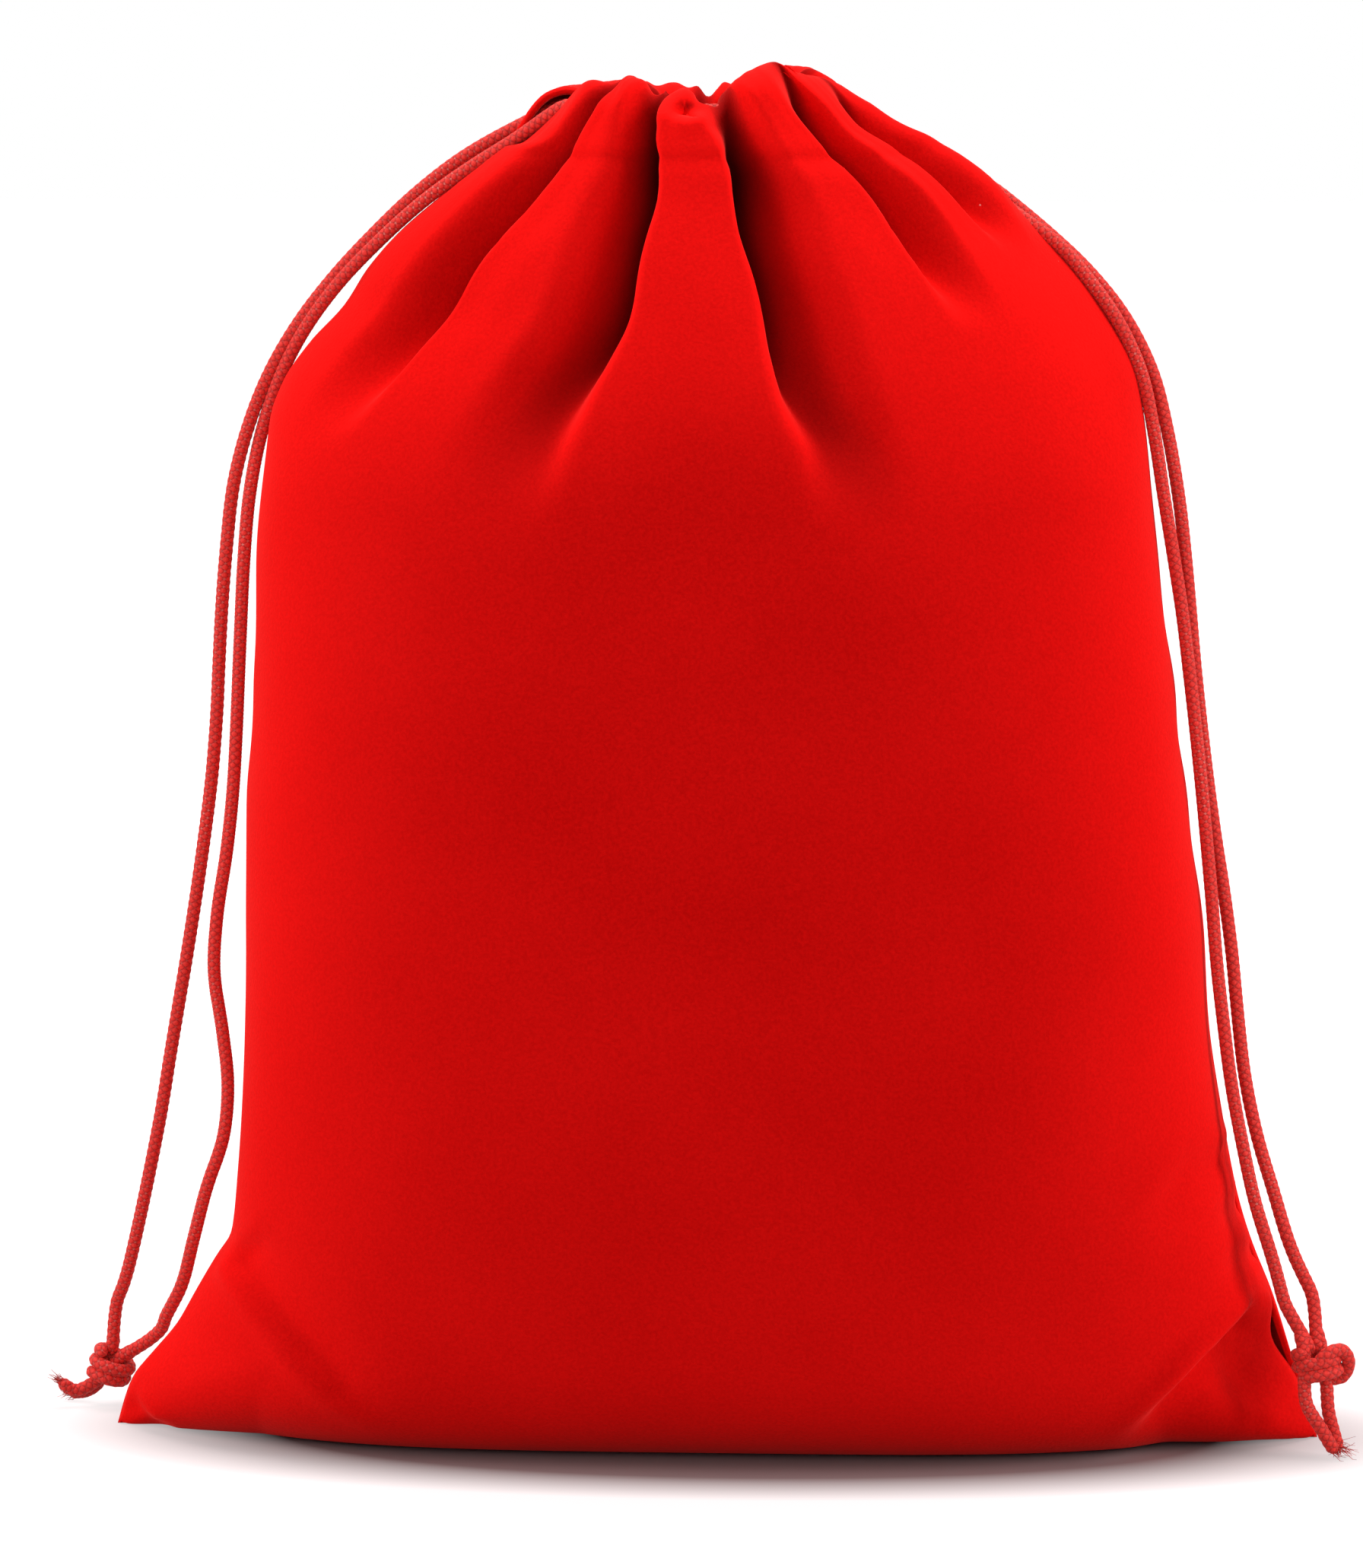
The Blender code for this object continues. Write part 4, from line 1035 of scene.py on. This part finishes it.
# Painted shade: the colour is mixed towards a near-black red where the fold value is high.
painted_fold_shade = scaled(tree, in_fold.outputs["Fac"], 0.05, 0.95, 0.0, 0.97)
colour = mixed(tree, painted_fold_shade, colour, VELVET_PAINTED_SHADE)
colour = mixed(tree, maths(tree, "MULTIPLY", pile.outputs["Lint"], 0.6), colour, LINT)
paint(tree, shader, colour, scaled(tree, pile.outputs["Patches"], 0.3, 0.7, 0.95, 0.82))
fill(shader, {"Specular IOR Level": 0.03, "Sheen Weight": 0.60, "Sheen Roughness": 0.35,
              "Sheen Tint": (1.0, 0.07, 0.06, 1.0)})
bump(tree, pile.outputs["Fibres"], 0.35, 0.0003, shader)
for half in (front_half, back_half):
    half.data.materials.append(velvet)
print("velvet:", len(tree.nodes), "nodes")

# %% [markdown]
# ### Braided cord
# The braid's pattern is computed from the UV map with the same lattice as the relief. Where four
# threads meet, a pale core shows as a tiny pinkish dot, which gives the cord its staggered specks.

# %% Cord material
braid, tree, shader = new_material("red_braid")
coordinates = node(tree, "ShaderNodeUVMap")
parts = node(tree, "ShaderNodeSeparateXYZ")
tree.links.new(coordinates.outputs[0], parts.inputs[0])
round_it = maths(tree, "MULTIPLY", parts.outputs[0], float(BRAID_THREADS))
wound = [maths(tree, way, round_it, parts.outputs[1]) for way in ("ADD", "SUBTRACT")]
waves = [maths(tree, "ABSOLUTE", maths(tree, "SINE", maths(tree, "MULTIPLY", way, math.pi)))
         for way in wound]
pillow = maths(tree, "SQRT", maths(tree, "MULTIPLY", *waves))
corner = maths(tree, "MAXIMUM", *waves)
speck = scaled(tree, corner, 0.30, 0.62, 1.0, 0.0)
fuzz = node(tree, "ShaderNodeGroup", node_tree=nap)
fill(fuzz, {"Patch scale": 60.0, "Fibre scale": 3200.0})
CORD_DEEP, CORD_BRIGHT, CORE = (0.40, 0.010, 0.008), (0.84, 0.036, 0.026), (0.90, 0.34, 0.28)
# Painted shade: the colour is darker in the braid's grooves and lighter on its plaits, by the same
# height as the bump.
colour = mixed(tree, scaled(tree, pillow, 0.15, 0.85, 0.0, 1.0), CORD_DEEP, CORD_BRIGHT)
worn = scaled(tree, fuzz.outputs["Patches"], 0.42, 0.64, 0.08, 0.62)
colour = mixed(tree, maths(tree, "MULTIPLY", speck, worn), colour, CORE)
dark_fibres = scaled(tree, fuzz.outputs["Fibres"], 0.35, 0.65, 0.0, 0.35)
colour = mixed(tree, dark_fibres, colour, CORD_DEEP)
paint(tree, shader, colour, scaled(tree, fuzz.outputs["Fibres"], 0.3, 0.7, 0.55, 0.8))
fill(shader, {"Specular IOR Level": 0.25, "Sheen Weight": 0.15,
              "Sheen Tint": (1.0, 0.35, 0.30, 1.0)})
fine_fibres = maths(tree, "MULTIPLY", fuzz.outputs["Fibres"], 0.5)
bump(tree, maths(tree, "ADD", pillow, fine_fibres), 0.5, 0.0003, shader)
cord_pieces = [piece for piece, _ in strands.values()]
cord_pieces += [hidden_left, hidden_right, left_knot, right_knot]
for piece in cord_pieces:
    piece.data.materials.append(braid)
print("cord:", len(tree.nodes), "nodes on", len(cord_pieces), "pieces")

# %% [markdown]
# ### Sewing thread
# The thread is the velvet's red with the slight shine of twisted polyester. Its twist is a fine
# slanting wave round the stitch.

# %% Thread material
thread, tree, shader = new_material("red_thread")
coordinates = node(tree, "ShaderNodeUVMap")
twist = node(tree, "ShaderNodeTexWave", wave_type="BANDS", bands_direction="DIAGONAL")
fill(twist, {"Scale": 0.6})
tree.links.new(coordinates.outputs[0], twist.inputs["Vector"])
THREAD_DEEP, THREAD_BRIGHT = (0.42, 0.004, 0.004), (0.74, 0.020, 0.016)
# Painted shade: the colour is darker in the twist's grooves, by the same wave as the bump.
colour = mixed(tree, twist.outputs["Fac"], THREAD_DEEP, THREAD_BRIGHT)
paint(tree, shader, colour, scaled(tree, twist.outputs["Fac"], 0.0, 1.0, 0.7, 0.5))
fill(shader, {"Specular IOR Level": 0.2})
bump(tree, twist.outputs["Fac"], 0.4, 0.0001, shader)
for piece in stitches:
    piece.data.materials.append(thread)
print("thread:", len(tree.nodes), "nodes")

# %% [markdown]
# ## Floor and light
# The photograph's ground is pure white but for a soft shadow close under the pouch. The floor glows
# enough to look white, but not in an oval under the pouch, and only a part of it lights the cloth.

# %% Floor
def seen_directly(tree):
    rays = node(tree, "ShaderNodeLightPath")
    mirrored = maths(tree, "MAXIMUM", rays.outputs["Is Glossy Ray"],
                     rays.outputs["Is Transmission Ray"])
    return maths(tree, "MAXIMUM", rays.outputs["Is Camera Ray"], mirrored)


bpy.context.scene.view_settings.view_transform = "Standard"
bpy.ops.mesh.primitive_plane_add(size=8)
floor = bpy.context.object
floor.name = "floor"
NEAR_GLOW, GLOW_LIGHTS = 0.82, 0.22
SHADOW_HALF_WIDTH, SHADOW_HALF_DEPTH = 0.119, 0.051
paper, tree, shader = new_material("white_paper")
# The base colour is a dark grey tinted red: the red is painted reflection of the velvet, and the glow
# makes the rest look white.
fill(shader, {"Base Color": (0.27, 0.20, 0.20, 1), "Roughness": 1.0, "Specular IOR Level": 0.0,
              "Emission Color": (1, 1, 1, 1)})
place = node(tree, "ShaderNodeNewGeometry")
footprint = node(tree, "ShaderNodeVectorMath", operation="MULTIPLY_ADD")
fill(footprint, {1: (1 / SHADOW_HALF_WIDTH, 1 / SHADOW_HALF_DEPTH, 0.0), 2: (-0.05, 0.0, 0.0)})
tree.links.new(place.outputs["Position"], footprint.inputs[0])
away = node(tree, "ShaderNodeVectorMath", operation="LENGTH")
tree.links.new(footprint.outputs[0], away.inputs[0])
# Painted shadow: the glow fades out in an oval round the footprint, which darkens the floor there on
# top of the lamps' real shadow.
glow = maths(tree, "ADD", scaled(tree, away.outputs["Value"], 0.82, 1.20, 0.0, NEAR_GLOW),
             scaled(tree, away.outputs["Value"], 2.0, 8.0, 0.0, 1.0 - NEAR_GLOW))
# The floor's glow also lights the cloth, a glowing floor standing in for the light that white paper
# bounces.
seen = scaled(tree, seen_directly(tree), 0.0, 1.0, GLOW_LIGHTS, 1.0)
tree.links.new(maths(tree, "MULTIPLY", seen, glow), shader.inputs["Emission Strength"])
floor.data.materials.append(paper)
print("floor:", tuple(round(s, 2) for s in floor.dimensions))

# %% [markdown]
# The world looks white and gives only a little light. A softbox stands at each side and a weaker one
# in front, and one hangs above and a little behind, so that the belly shades the floor.

# %% World and lamps
WORLD_LIGHTS = 0.16
LAMPS_AIM = Vector((0, 0, 0.14))
LAMPS = {
    "left_softbox": ((-1.45, -0.45, 0.80), (0.9, 1.1), 19),
    "right_softbox": ((1.45, -0.45, 0.80), (0.9, 1.1), 20),
    "top_softbox": ((0.0, 0.35, 1.55), (1.1, 0.9), 20),
    "front_softbox": ((0.0, -1.95, 0.75), (1.4, 0.9), 11.5),
}
world = bpy.data.worlds.new("studio")
bpy.context.scene.world = world
world.use_nodes = True
tree = world.node_tree
background = tree.nodes["Background"]
fill(background, {"Color": (1, 1, 1, 1)})
tree.links.new(scaled(tree, seen_directly(tree), 0.0, 1.0, WORLD_LIGHTS, 1.0),
               background.inputs["Strength"])
for name, (place, size, power) in LAMPS.items():
    lamp = bpy.data.objects.new(name, bpy.data.lights.new(name, "AREA"))
    bpy.context.scene.collection.objects.link(lamp)
    lamp.data.shape, lamp.data.size, lamp.data.size_y = "RECTANGLE", *size
    lamp.data.energy = power
    lamp.location = place
    lamp.rotation_euler = (LAMPS_AIM - Vector(place)).to_track_quat("-Z", "Y").to_euler()
print("lamps:", ", ".join(LAMPS))
